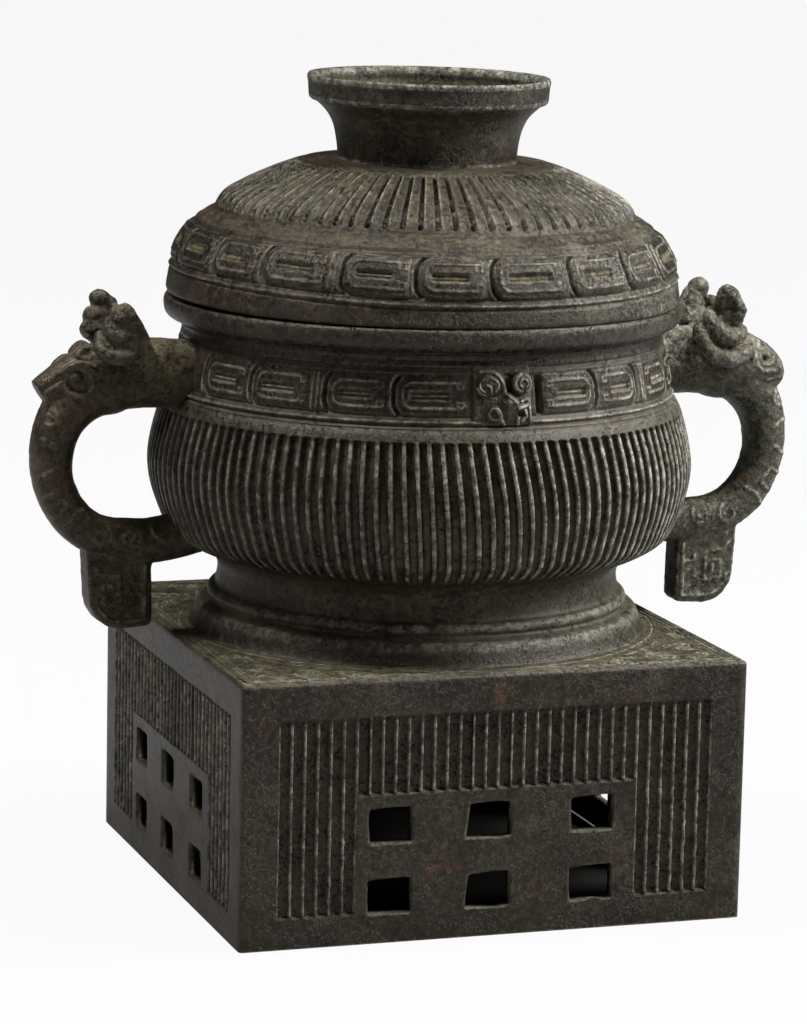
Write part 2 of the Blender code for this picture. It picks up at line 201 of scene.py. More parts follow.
def bowl():
    """Grid of 8 stations per rib by profile rows; each flute is sunk along the radius."""
    rib = (np.arange(RIBS)[:, None] + RIB_STATIONS).reshape(1, -1)
    under = ((60, 146.6), (84, 147.6))
    outer = through(BELLY, 32, dense=np.linspace(0.905, 0.943, 12))
    profile = np.r_[under, outer, ((107.2, BOWL_TOP),), through(INSIDE, 9)]
    radius, height = profile[:, :1], profile[:, 1:]
    outside = np.zeros((len(profile), 1))
    outside[len(under):len(under) + len(outer)] = 1
    share = (rib + 0.5) % 1 - 0.5
    rightward = ease(np.sin(2 * np.pi * rib / RIBS) * 1.5 - 0.1)
    half = (RIB_HALF + 0.05 * rightward) * (1 + 0.2 * wobble(rib * 1.3, height * 0.12, seed=8))
    size = np.abs(share)
    beyond = np.clip((size - RIB_HALF) / (0.5 - RIB_HALF), 0, 1)
    stretched = np.sign(share) * (half * np.minimum(size / RIB_HALF, 1) + beyond * (0.5 - half))
    azimuth = 2 * np.pi * (np.floor(rib + 0.5) + stretched + 0.10 * wobble(rib * 0.41, seed=2)) / RIBS
    degrees = (360 * rib / RIBS + 180) % 360 - 180
    lean = hump(degrees - 1, 22) + 0.55 * hump(degrees - 46, 28)
    azimuth = azimuth + LEAN * lean * np.clip(FLUTE_TOP - height, 0, 54)
    deep, w = flute_shape(share + 0 * height)
    arch = FLUTE_TOP + 0.5 - 1.3 * (1 - np.sqrt(np.clip(1 - w**4, 0, 1)))
    reach = ease((arch - height) / 0.5) * ease((height - 150) / 5)
    sunk = FLUTE_DEPTH * deep * reach * (1 + 0.2 * wobble(rib * 0.9, height * 0.07, seed=5)) * outside
    rough = 0.12 * wobble(azimuth * 9, height * 0.11, seed=3)
    points = round_points(radius - sunk + rough, height, azimuth)
    index = numbered(points)
    flat = np.r_[points.reshape(-1, 3), ((0, 0, 0.1464), (0, 0, 0.150))]
    faces = [quads(index), fan(index[0], index.size, False), fan(index[-1], index.size + 1, True)]
    lit_side = (share < -0.2) | (share > 0.45)
    in_flute = sunk > 0.8
    # Some earth lies in every flute; the extra earth colour on each flute's lit side is painted light.
    dust = (0.1 + 0.45 * lit_side) * (0.6 + 0.5 * wobble(rib * 3.1, height * 0.06, seed=12)) * in_flute
    dust = dust + (0.12 + 0.33 * np.abs(np.sin(azimuth / 2))) * ease((height - 212.5) / 2) * (height < 218)
    dust = (dust + 0.5 * hump(height - 214.6, 0.5)) * outside
    # Crests are rubbed light; one half of each crest more than the other, a painted highlight along that
    # edge.
    worn = (0.78 - 0.2 * (share > 0.05)) * (deep < 0.15) * reach * outside
    shoulder = 0.62 * ease((height - 213) / 2) * (1 - ease(np.sin(azimuth) * 2 - 0.2))
    # Dark smooth metal on the flute side away from the light is painted shade.
    bare = (0.9 * in_flute * (1 - lit_side) + shoulder) * outside
    return make_mesh("bowl", flat, faces, np.r_[dust.ravel(), 0, 0.4], worn, bare, form=0.12)


bowl_piece = bowl()

# The bronze: nearly black under a thin grey-green skin, brown earth in its hollows, pale
# rubbed edges, and small spots of rust red, malachite and pits.
class Socket:
    """A node's output, or a number, that sums are written with."""

    def __init__(self, finish, link):
        self.finish, self.link = finish, link

    def math(self, operation, *others, clamp=False):
        """One math node, with this as its first input."""
        return self.finish.node("ShaderNodeMath", {"operation": operation, "use_clamp": clamp},
                              dict(enumerate((self, *others))))

    def __add__(self, other):
        return self.math("ADD", other)

    def __mul__(self, other):
        return self.math("MULTIPLY", other)

    def __sub__(self, other):
        return self.math("SUBTRACT", other)

    def __rsub__(self, other):
        return Socket(self.finish, other).math("SUBTRACT", self)

    __radd__, __rmul__ = __add__, __mul__

    def clamped(self):
        """Held between 0 and 1."""
        return self.math("ADD", 0.0, clamp=True)

    def step(self, low, high):
        """0 below low, 1 above high, smooth between."""
        return self.finish.node("ShaderNodeMapRange", {"interpolation_type": "SMOOTHSTEP"},
                              {"Value": self, "From Min": low, "From Max": high})


class Finish:
    """A material being put together node by node."""

    def __init__(self, name):
        self.material = bpy.data.materials.new(name)
        self.material.use_nodes = True
        self.nodes = self.material.node_tree.nodes
        self.links = self.material.node_tree.links
        self.shader = self.nodes["Principled BSDF"]
        self.where = self.node("ShaderNodeTexCoord", {}, {}, "Object")

    def node(self, kind, settings, inputs, output=0):
        """Adds a node: settings first, then the values or links of its sockets."""
        made = self.nodes.new(kind)
        for key, value in settings.items():
            setattr(made, key, value)
        for key, value in inputs.items():
            self.feed(made.inputs[key], value)
        return Socket(self, made.outputs[output])

    def feed(self, socket, value):
        """Links a socket, or sets its value."""
        value = value.link if isinstance(value, Socket) else value
        if isinstance(value, bpy.types.NodeSocket):
            self.links.new(value, socket)
        else:
            socket.default_value = value

    def part(self, vector, axis):
        """One coordinate of a vector."""
        return self.node("ShaderNodeSeparateXYZ", {}, {"Vector": vector}, axis)

    def mark(self, name):
        """A mark of the mesh, such as dust or worn."""
        return self.node("ShaderNodeAttribute", {"attribute_name": name}, {}, "Fac")

    def noise(self, size, detail, roughness, offset=0.0):
        """Noise with features about size metres across; 0.5 on average."""
        at = self.node("ShaderNodeMapping", {}, {"Vector": self.where, "Location": (offset, offset * 0.7, 0)},
                       "Vector")
        return self.node("ShaderNodeTexNoise", {}, {"Vector": at, "Scale": 1 / size, "Detail": detail,
                                                    "Roughness": roughness}, "Fac")

    def blend(self, amount, first, second, mode="MIX"):
        """Colour mixed from first to second."""
        first, second = (c if isinstance(c, Socket) else (*c, 1) for c in (first, second))
        return self.node("ShaderNodeMix", {"data_type": "RGBA", "blend_type": mode},
                         {"Factor": amount, 6: first, 7: second}, 2)


DARK_BRONZE = (0.0215, 0.0150, 0.0103)
BROWN_BRONZE = (0.056, 0.036, 0.022)
OLIVE = (0.044, 0.044, 0.026)
GREY_GREEN = (0.083, 0.088, 0.066)
PALE_SKIN = (0.180, 0.182, 0.152)
EARTH = (0.150, 0.130, 0.073)
RUBBED = (0.350, 0.345, 0.280)
RUST = (0.150, 0.062, 0.027)
MALACHITE = (0.055, 0.092, 0.068)
BLACK_PIT = (0.004, 0.003, 0.003)


def patina(name, green, earth, brown, settled_dust, rubbed=1.0, rust=0.4, pitted=0.5, level=1.0):
    """Aged bronze. Layers from the metal up: dark or brown bronze in clouds, a grey-green skin
    that grows towards +X, the side the key light falls on, as painted light, malachite and rust
    spots, earth in the hollows, dust on what faces up, rubbed edges, also lighter towards +X as
    painted light, and pits. level lightens or darkens it all."""
    f = Finish(name)
    side = f.part(f.where, "X")
    upward = f.part(f.node("ShaderNodeNewGeometry", {}, {}, "Normal"), "Z")
    clouds = f.noise(0.050, 5, 0.6)
    blotch = f.noise(0.014, 7, 0.68, offset=3.1)
    grain = f.noise(0.0030, 6, 0.75, offset=1.3)
    fine = f.noise(0.0009, 3, 0.6, offset=5.7)
    patch = f.noise(0.020, 8, 0.62, offset=8.2)
    dust, worn, bare = map(f.mark, ("dust", "worn", "bare"))
    colour = f.blend((clouds * 0.5 + blotch * 0.5).step(0.60 - brown * 0.2, 0.72 - brown * 0.2),
                     DARK_BRONZE, BROWN_BRONZE)
    colour = f.blend(f.noise(0.030, 6, 0.65, offset=43.0).step(0.50, 0.64) * 0.7, colour, OLIVE)
    # The grey-green skin is real patina; its growth towards +X, the side the key light falls on, is painted
    # light.
    skin = (side * 4.5 + (blotch - 0.5) * 2.6 + (clouds - 0.5) * 2.0 + green - 0.5).step(0.0, 0.9)
    skin = skin * (1.0 - bare * 0.7)
    colour = f.blend(skin * (0.30 + grain * 0.9), colour, GREY_GREEN)
    colour = f.blend(skin * patch.step(0.50, 0.62) * (0.2 + grain), colour, PALE_SKIN)
    copper = f.noise(0.018, 7, 0.7, offset=12.4).step(0.60, 0.70)
    colour = f.blend(copper * (0.35 * green), colour, MALACHITE)
    red = f.noise(0.024, 8, 0.72, offset=17.9).step(0.60, 0.70)
    colour = f.blend(red * grain.step(0.35, 0.6) * rust, colour, RUST)
    colour = f.blend(bare * (0.5 + blotch * 0.7), colour, DARK_BRONZE)
    lying = (upward.step(0.55, 0.95) * settled_dust * (0.45 + blotch * 0.9)).clamped()
    crumbs = f.noise(0.009, 6, 0.65, offset=21.0).step(0.38, 0.62)
    settled = (dust * earth * (0.25 + grain * 0.5 + crumbs * 0.6) + lying).clamped()
    colour = f.blend(settled, colour, EARTH)
    # Rubbed edges show lighter towards +X, the side the key light falls on: partly wear, partly painted
    # light.
    edge = (worn * 0.3 + worn.step(0.45, 0.80) * 0.7) * (side * 2.8 + 0.80)
    patchy = f.noise(0.005, 6, 0.7, offset=25.0).step(0.40, 0.60)
    colour = f.blend(edge * rubbed * (0.2 + patchy * 0.8), colour, RUBBED)
    speckle = f.noise(0.0017, 4, 0.7, offset=31.0)
    pit = (speckle + (patch - 0.5) * 0.5).step(0.66 - pitted * 0.16, 0.74 - pitted * 0.16)
    colour = f.blend(pit * 0.8, colour, BLACK_PIT)
    fleck = f.noise(0.0013, 3, 0.6, offset=37.0).step(0.62, 0.72)
    colour = f.blend(fleck * (0.25 + skin * 0.4), colour, RUBBED)
    tone = (0.05 + grain.step(0.28, 0.72) * 1.25 + (fine - 0.5) * 0.8 + (speckle - 0.5) * 1.0) * level
    shade = f.node("ShaderNodeCombineColor", {}, {"Red": tone, "Green": tone, "Blue": tone})
    colour = f.blend(1.0, colour, shade, "MULTIPLY")
    f.feed(f.shader.inputs["Base Color"], colour)
    dull = 0.37 - bare * 0.18 + skin * 0.14 + settled * 0.25 + (grain - 0.5) * 0.5
    f.feed(f.shader.inputs["Roughness"], dull.clamped())
    f.shader.inputs["Metallic"].default_value = 0.0
    f.shader.inputs["Specular IOR Level"].default_value = 0.36
    f.shader.inputs["Specular Tint"].default_value = (1.0, 0.92, 0.78, 1)
    height = grain * 0.6 + fine * 0.2 + blotch * 0.4 - pit * 0.5
    bump = f.node("ShaderNodeBump", {}, {"Strength": 0.9, "Distance": 0.0010, "Height": height}, "Normal")
    f.feed(f.shader.inputs["Normal"], bump)
    return f.material


vessel_bronze = patina("vessel patina", green=0.4, earth=0.45, brown=0.4, settled_dust=0.3)


def fit(piece, material, node="vessel"):
    """Dresses a finished piece and ties it to the frame."""
    piece.data.materials.append(material)
    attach(piece, "root")
    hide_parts(node)


fit(bowl_piece, vessel_bronze)

# ================================================================ ring foot
# The round foot under the bowl, cast with it: a splayed apron with a flat ledge, a narrow roll
# and a waist.
def runs_of(*parts):
    """Profile put together from smooth runs. Each part holds its points and how many to make."""
    return np.concatenate([through(points, count) for points, count in parts])


def turned_ring(name, profile, columns, bare=0, form=1.0):
    """Closed wall: a profile loop in mm carried round the axis."""
    azimuth = (2 * np.pi * np.arange(columns) / columns)[None]
    radius, height = profile[:, :1], profile[:, 1:]
    points = round_points(radius + 0.12 * wobble(azimuth * 7, height * 0.2, seed=4), height, azimuth)
    return make_mesh(name, points, [quads(numbered(points), wrap_rows=True)], bare=bare, form=form)


foot_profile = runs_of(
    (((103.8, 113.4), (102.2, 115.4), (100.9, 118.6), (100.1, 121.4), (99.2, 123.6)), 10),
    (((98.4, 124.6), (96.6, 125.5), (94.6, 126.2), (93.6, 126.8)), 7),
    (((93.5, 127.6), (94.1, 128.8), (94.0, 130.2), (92.8, 131.8), (91.2, 132.8)), 9),
    (((90.7, 133.2), (90.2, 135.4), (89.6, 139), (89.8, 142.6), (91.6, 146), (95, 149), (99.5, 151.5)), 14),
    (((99, 154), (84, 148), (84.6, 140), (88.6, 127), (96.6, 113.4)), 8))
fit(turned_ring("ring_foot", foot_profile, 288, bare=0.1, form=0.6), vessel_bronze)

# ================================================================ tile bands
# A band of scale-shaped tiles runs round the bowl's neck and round the lid, cast in low relief:
# each tile has one round end in a raised crescent, a thin line inside its edge and a sunk slot.
BAND_COLUMNS = 1000
BAND_RADIUS = 110


def rounded_box(s, t, left, right, half, round_left, round_right=0.7):
    """Distance to a box in the (s, t) plane, negative inside, with one radius at each end."""
    middle, reach = (left + right) / 2, (right - left) / 2
    corner = np.where(s < middle, round_left, round_right)
    across, along = np.abs(t) - half + corner, np.abs(s - middle) - reach + corner
    beyond = np.hypot(np.maximum(across, 0), np.maximum(along, 0))
    return np.minimum(np.maximum(across, along), 0) + beyond - corner


def line(distance, half, soft):
    """1 on a line where distance is near 0, fading over soft mm."""
    return 1 - ease((np.abs(distance) - half) / soft)


def tile_relief(s, t, length, half, crescent, pillow):
    """Height, dust, rubbed light and bare metal of one tile, in mm from its round end: a crescent
    ridge, a slit, a plate with a raised thread that ends in two small hooks, and a slot with a
    centre line. The bare mark in the slit is painted shade."""
    edge = rounded_box(s, t, 3.1, length + 5, half + 0.4, 6.4)
    beyond = np.clip(edge, 0, None)
    near_end = 1 - ease((s - 3.6) / 4.5)
    slit = ease(beyond / 0.35) * ease((1.75 - beyond) / 0.4) * near_end
    ridge = hump(beyond - 2.45, 0.5) * near_end * crescent
    arris = line(edge + 0.45, 0.2, 0.4) * (0.35 + 0.65 * near_end)
    thread = line(rounded_box(s, t, 6.0, length + 5, half - 3.0, 4.4), 0.2, 0.42) * (s < length - 4.6)
    hook = rounded_box(s, np.abs(t), length - 4.7, length - 2.0, half - 3.0, 0.6, 1.2)
    thread = np.maximum(thread, 0.7 * line(np.maximum(hook, 2.9 - np.abs(t)), 0.12, 0.42))
    slot = rounded_box(s, t, 3.1 + 0.17 * length, length - 7.4, 1.95, 1.3, 0.5)
    sunk = 1 - ease((slot + 0.5) / 0.6)
    floor = line(t, 0.2, 0.45) * sunk
    brim = line(slot - 0.15, 0.15, 0.45)
    fall = np.clip(np.minimum(-edge, length - 0.4 - s) / 2.6, 0, 1)
    height = 0.85 * ridge + 0.5 * thread - 1.5 * slit - 1.6 * sunk + 0.6 * floor + 0.2 * arris
    height = height + pillow * (np.sqrt(1 - (1 - fall) ** 2) - 0.3 * (edge > 0))
    # Dark smooth metal on the plate; in the slit it is painted shade.
    metal = 0.9 * ((edge < -0.2) * (1 - sunk) * (1 - thread) + slit)
    rubbed = thread + 0.9 * ridge + 0.5 * floor + 0.5 * arris + 0.35 * brim
    return height, 2.0 * sunk + 0.3 * ridge, rubbed, metal


def band_relief(azimuth, across, half, runs, dividers, gaps, pillow):
    """Relief of a whole band. azimuth is in degrees, across in mm from the band's middle. runs
    lists (start, widths, round end), dividers the azimuths of upright double lines and gaps
    those of deep upright slits."""
    def away_from(place):
        """Distance in mm round the band from an azimuth."""
        return np.radians((azimuth - place + 180) % 360 - 180) * BAND_RADIUS

    height, dust, worn, bare = np.zeros((4, *np.broadcast(azimuth, across).shape))
    for start, widths, round_end in runs:
        for width in widths:
            angle = (azimuth - start) % 360
            share = angle / width if round_end < 0 else 1 - angle / width
            length = math.radians(width) * BAND_RADIUS
            inside = (angle < width) & (np.abs(across) < half + 0.2)
            relief = tile_relief(share * length, across, length, half, 1.0 if round_end < 0 else 0.35, pillow)
            for total, part in zip((height, dust, worn, bare), relief):
                total += np.where(inside, part, 0)
            start += width
    for divider in dividers:
        away = away_from(divider)
        strip = (np.abs(away) < 2.2) & (np.abs(across) < half)
        height[strip], worn[strip], dust[strip] = 0, 0, 0.3
        for place, rise in ((-1.2, 1.3), (1.1, 1.0)):
            ridge = hump(away - place, 0.5) * strip
            height, worn = height + rise * ridge, worn + 0.8 * ridge
    for gap in gaps:
        slit = 1 - ease((np.abs(away_from(gap)) - 0.9) / 0.7)
        slit = slit * (1 - ease((np.abs(across) - half + 0.8) / 0.8))
        # The deep slits are made dark as painted shade.
        height, dust, bare = height - 3.0 * slit, dust * (1 - slit), np.maximum(bare, slit)
    for place, depth, width in ((half + 0.3, 0.5, 0.3), (-half - 0.4, 0.8, 0.4), (-half - 4.3, 0.9, 0.5)):
        groove = hump(across - place, width)
        height, dust = height - depth * groove, dust + 0.2 * groove
    for place, rise, width in ((half + 1.0, 0.35, 0.3), (-half - 3.1, 0.8, 0.6)):
        ridge = rise * hump(across - place, width)
        height, worn = height + ridge, worn + 0.9 * ridge
    return height, dust, worn, bare


def outwards(profile):
    """Directions across a profile, one for each of its points."""
    slope = np.gradient(profile, axis=0)
    normal = np.stack((slope[:, 1], -slope[:, 0]), -1)
    return normal / np.linalg.norm(normal, axis=1)[:, None]


def band_wall(name, outer, inner, middle, half, runs, dividers, gaps, pillow):
    """Closed ring wall whose outer rows carry the relief outwards along the profile's normal."""
    azimuth = (360 * np.arange(BAND_COLUMNS) / BAND_COLUMNS)[None]
    along = np.r_[0, np.cumsum(np.hypot(*np.diff(outer, axis=0).T))][:, None]
    height, *marks = band_relief(azimuth, along - middle, half, runs, dividers, gaps, pillow)
    fade = ease(along / 0.8) * ease((along[-1] - along) / 0.8)
    height = height * fade + 0.1 * wobble(azimuth * 0.12, along * 0.2, seed=7)
    front = outer[:, None] + outwards(outer)[:, None] * height[..., None]
    profile = np.r_[front, np.repeat(inner[:, None], BAND_COLUMNS, 1)]
    points = round_points(profile[..., 0], profile[..., 1], np.radians(azimuth))
    return make_mesh(name, points, [quads(numbered(points), wrap_rows=True)], *marks, form=0.3)


BODY_RUNS = [(start + turn, widths, end) for turn in (0, 180) for start, widths, end in (
    (-77.8, (16.7, 17.0), -1), (-41.5, (15.6, 17.5), -1), (9.2, (15.9, 14.9), 1), (42.9, (15.6, 15.6), 1))]
neck = through(((113.8, BOWL_TOP), (112.6, 221.2), (111.7, 223.5), (110.8, 228), (109.6, 234),
                (108.2, 241), (107.4, 245)), 50)
neck_inside = through(((102.6, 245), (104.6, 234), (107.2, BOWL_TOP)), 4)
fit(band_wall("neck_band", neck, neck_inside, 14.9, 8.4, BODY_RUNS, (-42.7, 41.2, 137.3, 221.2),
              (8.2, 188.2), 0.3), vessel_bronze)

# ================================================================ neck and rim
# Above the band the neck carries one fine ridge, then flares into the thick rounded rim that
# the lid rests on. It is cast in one with the bowl.
rim_profile = runs_of(
    (((107.4, 245), (106.9, 247.4), (106.6, 249)), 4),
    (((107.2, 249.4), (107.7, 250), (107.1, 250.7)), 4),
    (((108.2, 251.2), (110.6, 252.2), (113, 253.2), (114.4, 254.8), (115.0, 257), (114.9, 260.2),
      (114.4, 261.5), (113.4, 261.9)), 18),
    (((110, 261.8), (107.4, 261.4), (106.8, 259), (106.8, 254.2), (102.6, 249.8), (102.6, 245)), 10))
fit(turned_ring("rim", rim_profile, 300, bare=0.8, form=0.25), vessel_bronze)

# ================================================================ lid
# A loose dome that rests on the rim, a hair out of true: a plain edge, the tile band, a smooth
# slope, radiating flat ribs, a level crown and a cup-shaped ring knob.
LID_TILT = (0.012, 0.0043)
LID_SEAT = (0, 0, 262.9 * MM)
LID_RUNS = ((-93.2, (18.2, 16.5, 18.2), -1), (-38.3, (16.7, 16.8, 19.2, 17.5, 15.5), -1),
            (47.4, (18.8,) * 5, -1), (143.2, (17.6,) * 5, -1), (-127, (16.5, 17.1), -1))


def place_points(mesh, place):
    """Moves a mesh's points."""
    mesh.vertices.foreach_set("co", place.astype(np.float32).ravel())
    mesh.update()


def lid_object(piece):
    """Seats a lid piece: turned about the middle of the lid's lower edge, up a little at the
    back and at -X, with the turn kept in its mesh."""
    turn = np.array(Matrix.Rotation(LID_TILT[1], 3, "Y") @ Matrix.Rotation(LID_TILT[0], 3, "X"))
    place_points(piece.data, (read_points(piece.data)[0] - LID_SEAT) @ turn.T + LID_SEAT)
    fit(piece, lid_bronze, "lid")


lid_bronze = patina("lid patina", green=0.5, earth=1.1, rubbed=0.9, brown=0.7, settled_dust=0.1, pitted=0.8)
lid_outer = runs_of(
    (((112.2, 263.2), (113.4, 263.4), (114.0, 264.4), (114.0, 266), (113.6, 268.5), (113.3, 270.6)), 11),
    (((113.1, 271.6), (112.8, 273.2), (112.1, 276.4), (110.5, 281.7), (108.5, 285.7), (106.5, 289),
      (104.5, 291.6), (103.4, 292.9)), 46))
lid_inner = through(((99.6, 290.6), (106.6, 277), (107.6, 269.5), (104.4, 264), (104.4, 256), (101, 256),
                     (101, 263.2)), 8)
# The band was laid out to ride a little higher over the handles than between them.
band_middle = 22.8 + 2.3 * np.sin(2 * np.pi * np.arange(BAND_COLUMNS) / BAND_COLUMNS) ** 2
lid_object(band_wall("lid_band", lid_outer, lid_inner, band_middle, 8.8, LID_RUNS, (-39.2, 142.2, -128),
                     (), 1.0))

# The slope above the band: one raised thread, a groove, a smooth shoulder, then 76 thin ribs that
# run up to a level disc round the knob. The dome is hollow beneath.
LID_RIBS = 76
LID_FLUTE_DEPTH = 2.9
LID_RIB_STATIONS = np.array((0.0, 0.06, 0.12, 0.34, 0.54, 0.6, 0.67, 0.8, 0.93))


def lid_slope():
    """Dome of revolution with its ribs left standing between sunk flutes. part is the share of
    one rib's pitch: flat rib up to 0.6, then the flute. run is the way up the ribbed slope."""
    rib = (np.arange(LID_RIBS)[:, None] + LID_RIB_STATIONS).reshape(1, -1)
    moulding = through(((103.3, 292.9), (102.8, 293.3), (102.3, 293.5), (101.9, 294.4), (101.3, 295.6),
                        (99.4, 296.8), (96.8, 298.6), (94.5, 299.7), (93.5, 300.1)), 24)
    ribbed = through(((93.2, 300.6), (92, 303.4), (90, 306.2), (83.2, 310.6), (73.4, 315.5), (63.6, 319.6),
                      (58.8, 321.3), (55.8, 321.9)), 30,
                     dense=np.r_[np.linspace(0, 0.16, 9), np.linspace(0.9, 1, 7)])
    crown = through(((55, 322.4), (50, 322.7), (39, 323), (20, 323), (6, 323)), 7)
    inner = through(((6, 318.2), (40, 316.8), (58.4, 314), (84.6, 302.6), (99.4, 290.6)), 8)
    profile = np.concatenate((moulding, ribbed, crown, inner))
    along = np.r_[0, np.cumsum(np.hypot(*np.diff(ribbed, axis=0).T))]
    run = np.full((len(profile), 1), -1.0)
    run[len(moulding):len(moulding) + len(ribbed), 0] = along
    azimuth = 2 * np.pi * (rib + 0.10 * wobble(rib * 0.37, seed=9)) / LID_RIBS
    part = rib % 1 + 0 * run
    on_rib = part <= 0.6
    channel = 0.1 * (part > 0.5) + 0.28 * np.sin(np.pi * np.clip(part / 0.6, 0, 1))
    w = np.where(on_rib, np.abs(part - 0.3) / 0.3, np.abs(part - 0.8) / 0.2)
    plug = ease(1.6 * wobble(rib * 2.3, run * 0.55, seed=15) - 0.4) * ease((30 - run) / 12)
    deep = np.where(on_rib, channel, np.clip(1 - w**3, 0, 1) ** 0.6 * (1 - 0.6 * plug))
    start = 1.2 + 2.0 * (1 - np.sqrt(np.clip(1 - w**2, 0, 1)))
    reach = ease((run - start) / 1.0) * ease((along[-1] - 0.6 - run) / 1.4) * (run >= 0)
    sunk = LID_FLUTE_DEPTH * deep * reach * (1 + 0.15 * wobble(rib * 0.8, run * 0.08, seed=11))
    normal = outwards(profile)
    radius = profile[:, :1] - sunk * normal[:, :1] * 0.7 + 0.1 * wobble(azimuth * 8, run * 0.1, seed=6)
    points = round_points(radius, profile[:, 1:] - sunk * np.maximum(normal[:, 1:], 0.5), azimuth)
    index = numbered(points)
    upper, lower = np.split(index, [len(profile) - len(inner)])
    flat = np.r_[points.reshape(-1, 3), ((0, 0, 0.323), (0, 0, 0.3182))]
    faces = [quads(upper), fan(upper[-1], index.size, True), quads(lower),
             fan(lower[0], index.size + 1, False), quads(np.stack((index[-1], index[0])))]
    in_groove = (part > 0.62) & (part < 0.98)
    on_flat = (part > 0.1) & (part < 0.56)
    stains = ease(1.6 * wobble(rib * 0.9, run * 0.3, seed=19) - 0.1) * on_flat
    dust = reach * (0.12 * on_flat + 0.8 * plug * in_groove) + 0.12 * (reach < 0.5)
    worn = reach * (0.8 * (part < 0.08) + 0.5 * (np.abs(part - 0.58) < 0.04))
    # Dark smooth metal in the flute grooves is painted shade; on the flat ribs it marks stains.
    bare = reach * 0.9 * (in_groove * (1 - plug) + stains)
    return make_mesh("lid_slope", flat, faces, dust, worn, bare, form=0)


lid_object(lid_slope())

# The knob: a flaring ring with an upright band at its lip, open at the top.
knob_profile = runs_of(
    (((39.4, 321.6), (39.6, 324.6), (40.4, 331.3), (42.2, 338.6), (44.6, 343), (48, 346.6), (49.6, 348)), 26),
    (((50.2, 348.9), (51.6, 348.8), (52.6, 349.6), (53.0, 352), (53.3, 356), (53.7, 359), (53.2, 360)), 18),
    (((52, 359.9), (50.2, 359.4), (49.2, 352), (46, 347), (41, 341.6), (36.6, 332), (34.6, 324),
      (34.8, 321.6)), 22))
lid_object(turned_ring("knob", knob_profile, 216))

# ================================================================ base
# The square base is an open-bottomed box cast with the foot: four walls 4.5 mm thick under a
# flat top. Every wall has a panel of upright ribs and six rectangular windows; over the windows
# the ribs stop short.
BASE_HALF = 114.0
BASE_TOP = 115.0
BASE_WALL = 4.5
BASE_CORNER = 2.0
CRESTS = 35
PANEL = (-97.8, 98.0)
PANEL_FOOT, PANEL_TOP, SHORT_FOOT = 13.2, 99.0, 64.7
SHORT_ZONE = 62.0
BASE_FLUTE_DEPTH = 1.7
WINDOWS_ACROSS = ((-57.9, -37.7), (-13.5, 7.0), (33.5, 53.8))
WINDOWS_UP = ((12.4, 28.5), (43.2, 59.4))


def window_wear(u, z):
    """Rounding of the windows: how near a window a point is, from 0 to 1, and the pull of the
    window corners on it, as a complex number with the sideways part first."""
    around, pull = np.zeros(u.shape), np.zeros(u.shape, complex)
    for left, right in WINDOWS_ACROSS:
        for low, high in WINDOWS_UP:
            gap = np.maximum.reduce((left - u, u - right, low - z, z - high))
            around = np.maximum(around, 1 - ease(gap / 0.8))
            for x, inward in ((left, 1), (right, -1)):
                for level, rise in ((low, 1), (high, -1)):
                    pull = pull + 0.8 * (inward + 1j * rise) * hump(u - x, 0.6) * hump(z - level, 0.6)
    return around, pull


def outline_of(index, rows, columns):
    """Point numbers round a window in a grid: up its left side, across, down and back."""
    (low, high), (left, right) = rows, columns
    return np.r_[index[low:high, left], index[high, left:right],
                 index[high:low:-1, right], index[low, right:left:-1]]


def bridge(outside, inside, stops):
    """Faces between two closed runs of point numbers. Every point of inside faces the point of
    outside that stops gives for it, and the outer points between go into the same face."""
    at = [*np.flatnonzero(np.isin(outside, stops)), len(outside)]
    outside, inside = [*outside, outside[0]], [*inside, inside[0]]
    return [[inside[k], inside[k + 1], *outside[at[k]:at[k + 1] + 1][::-1]] for k in range(len(at) - 1)]


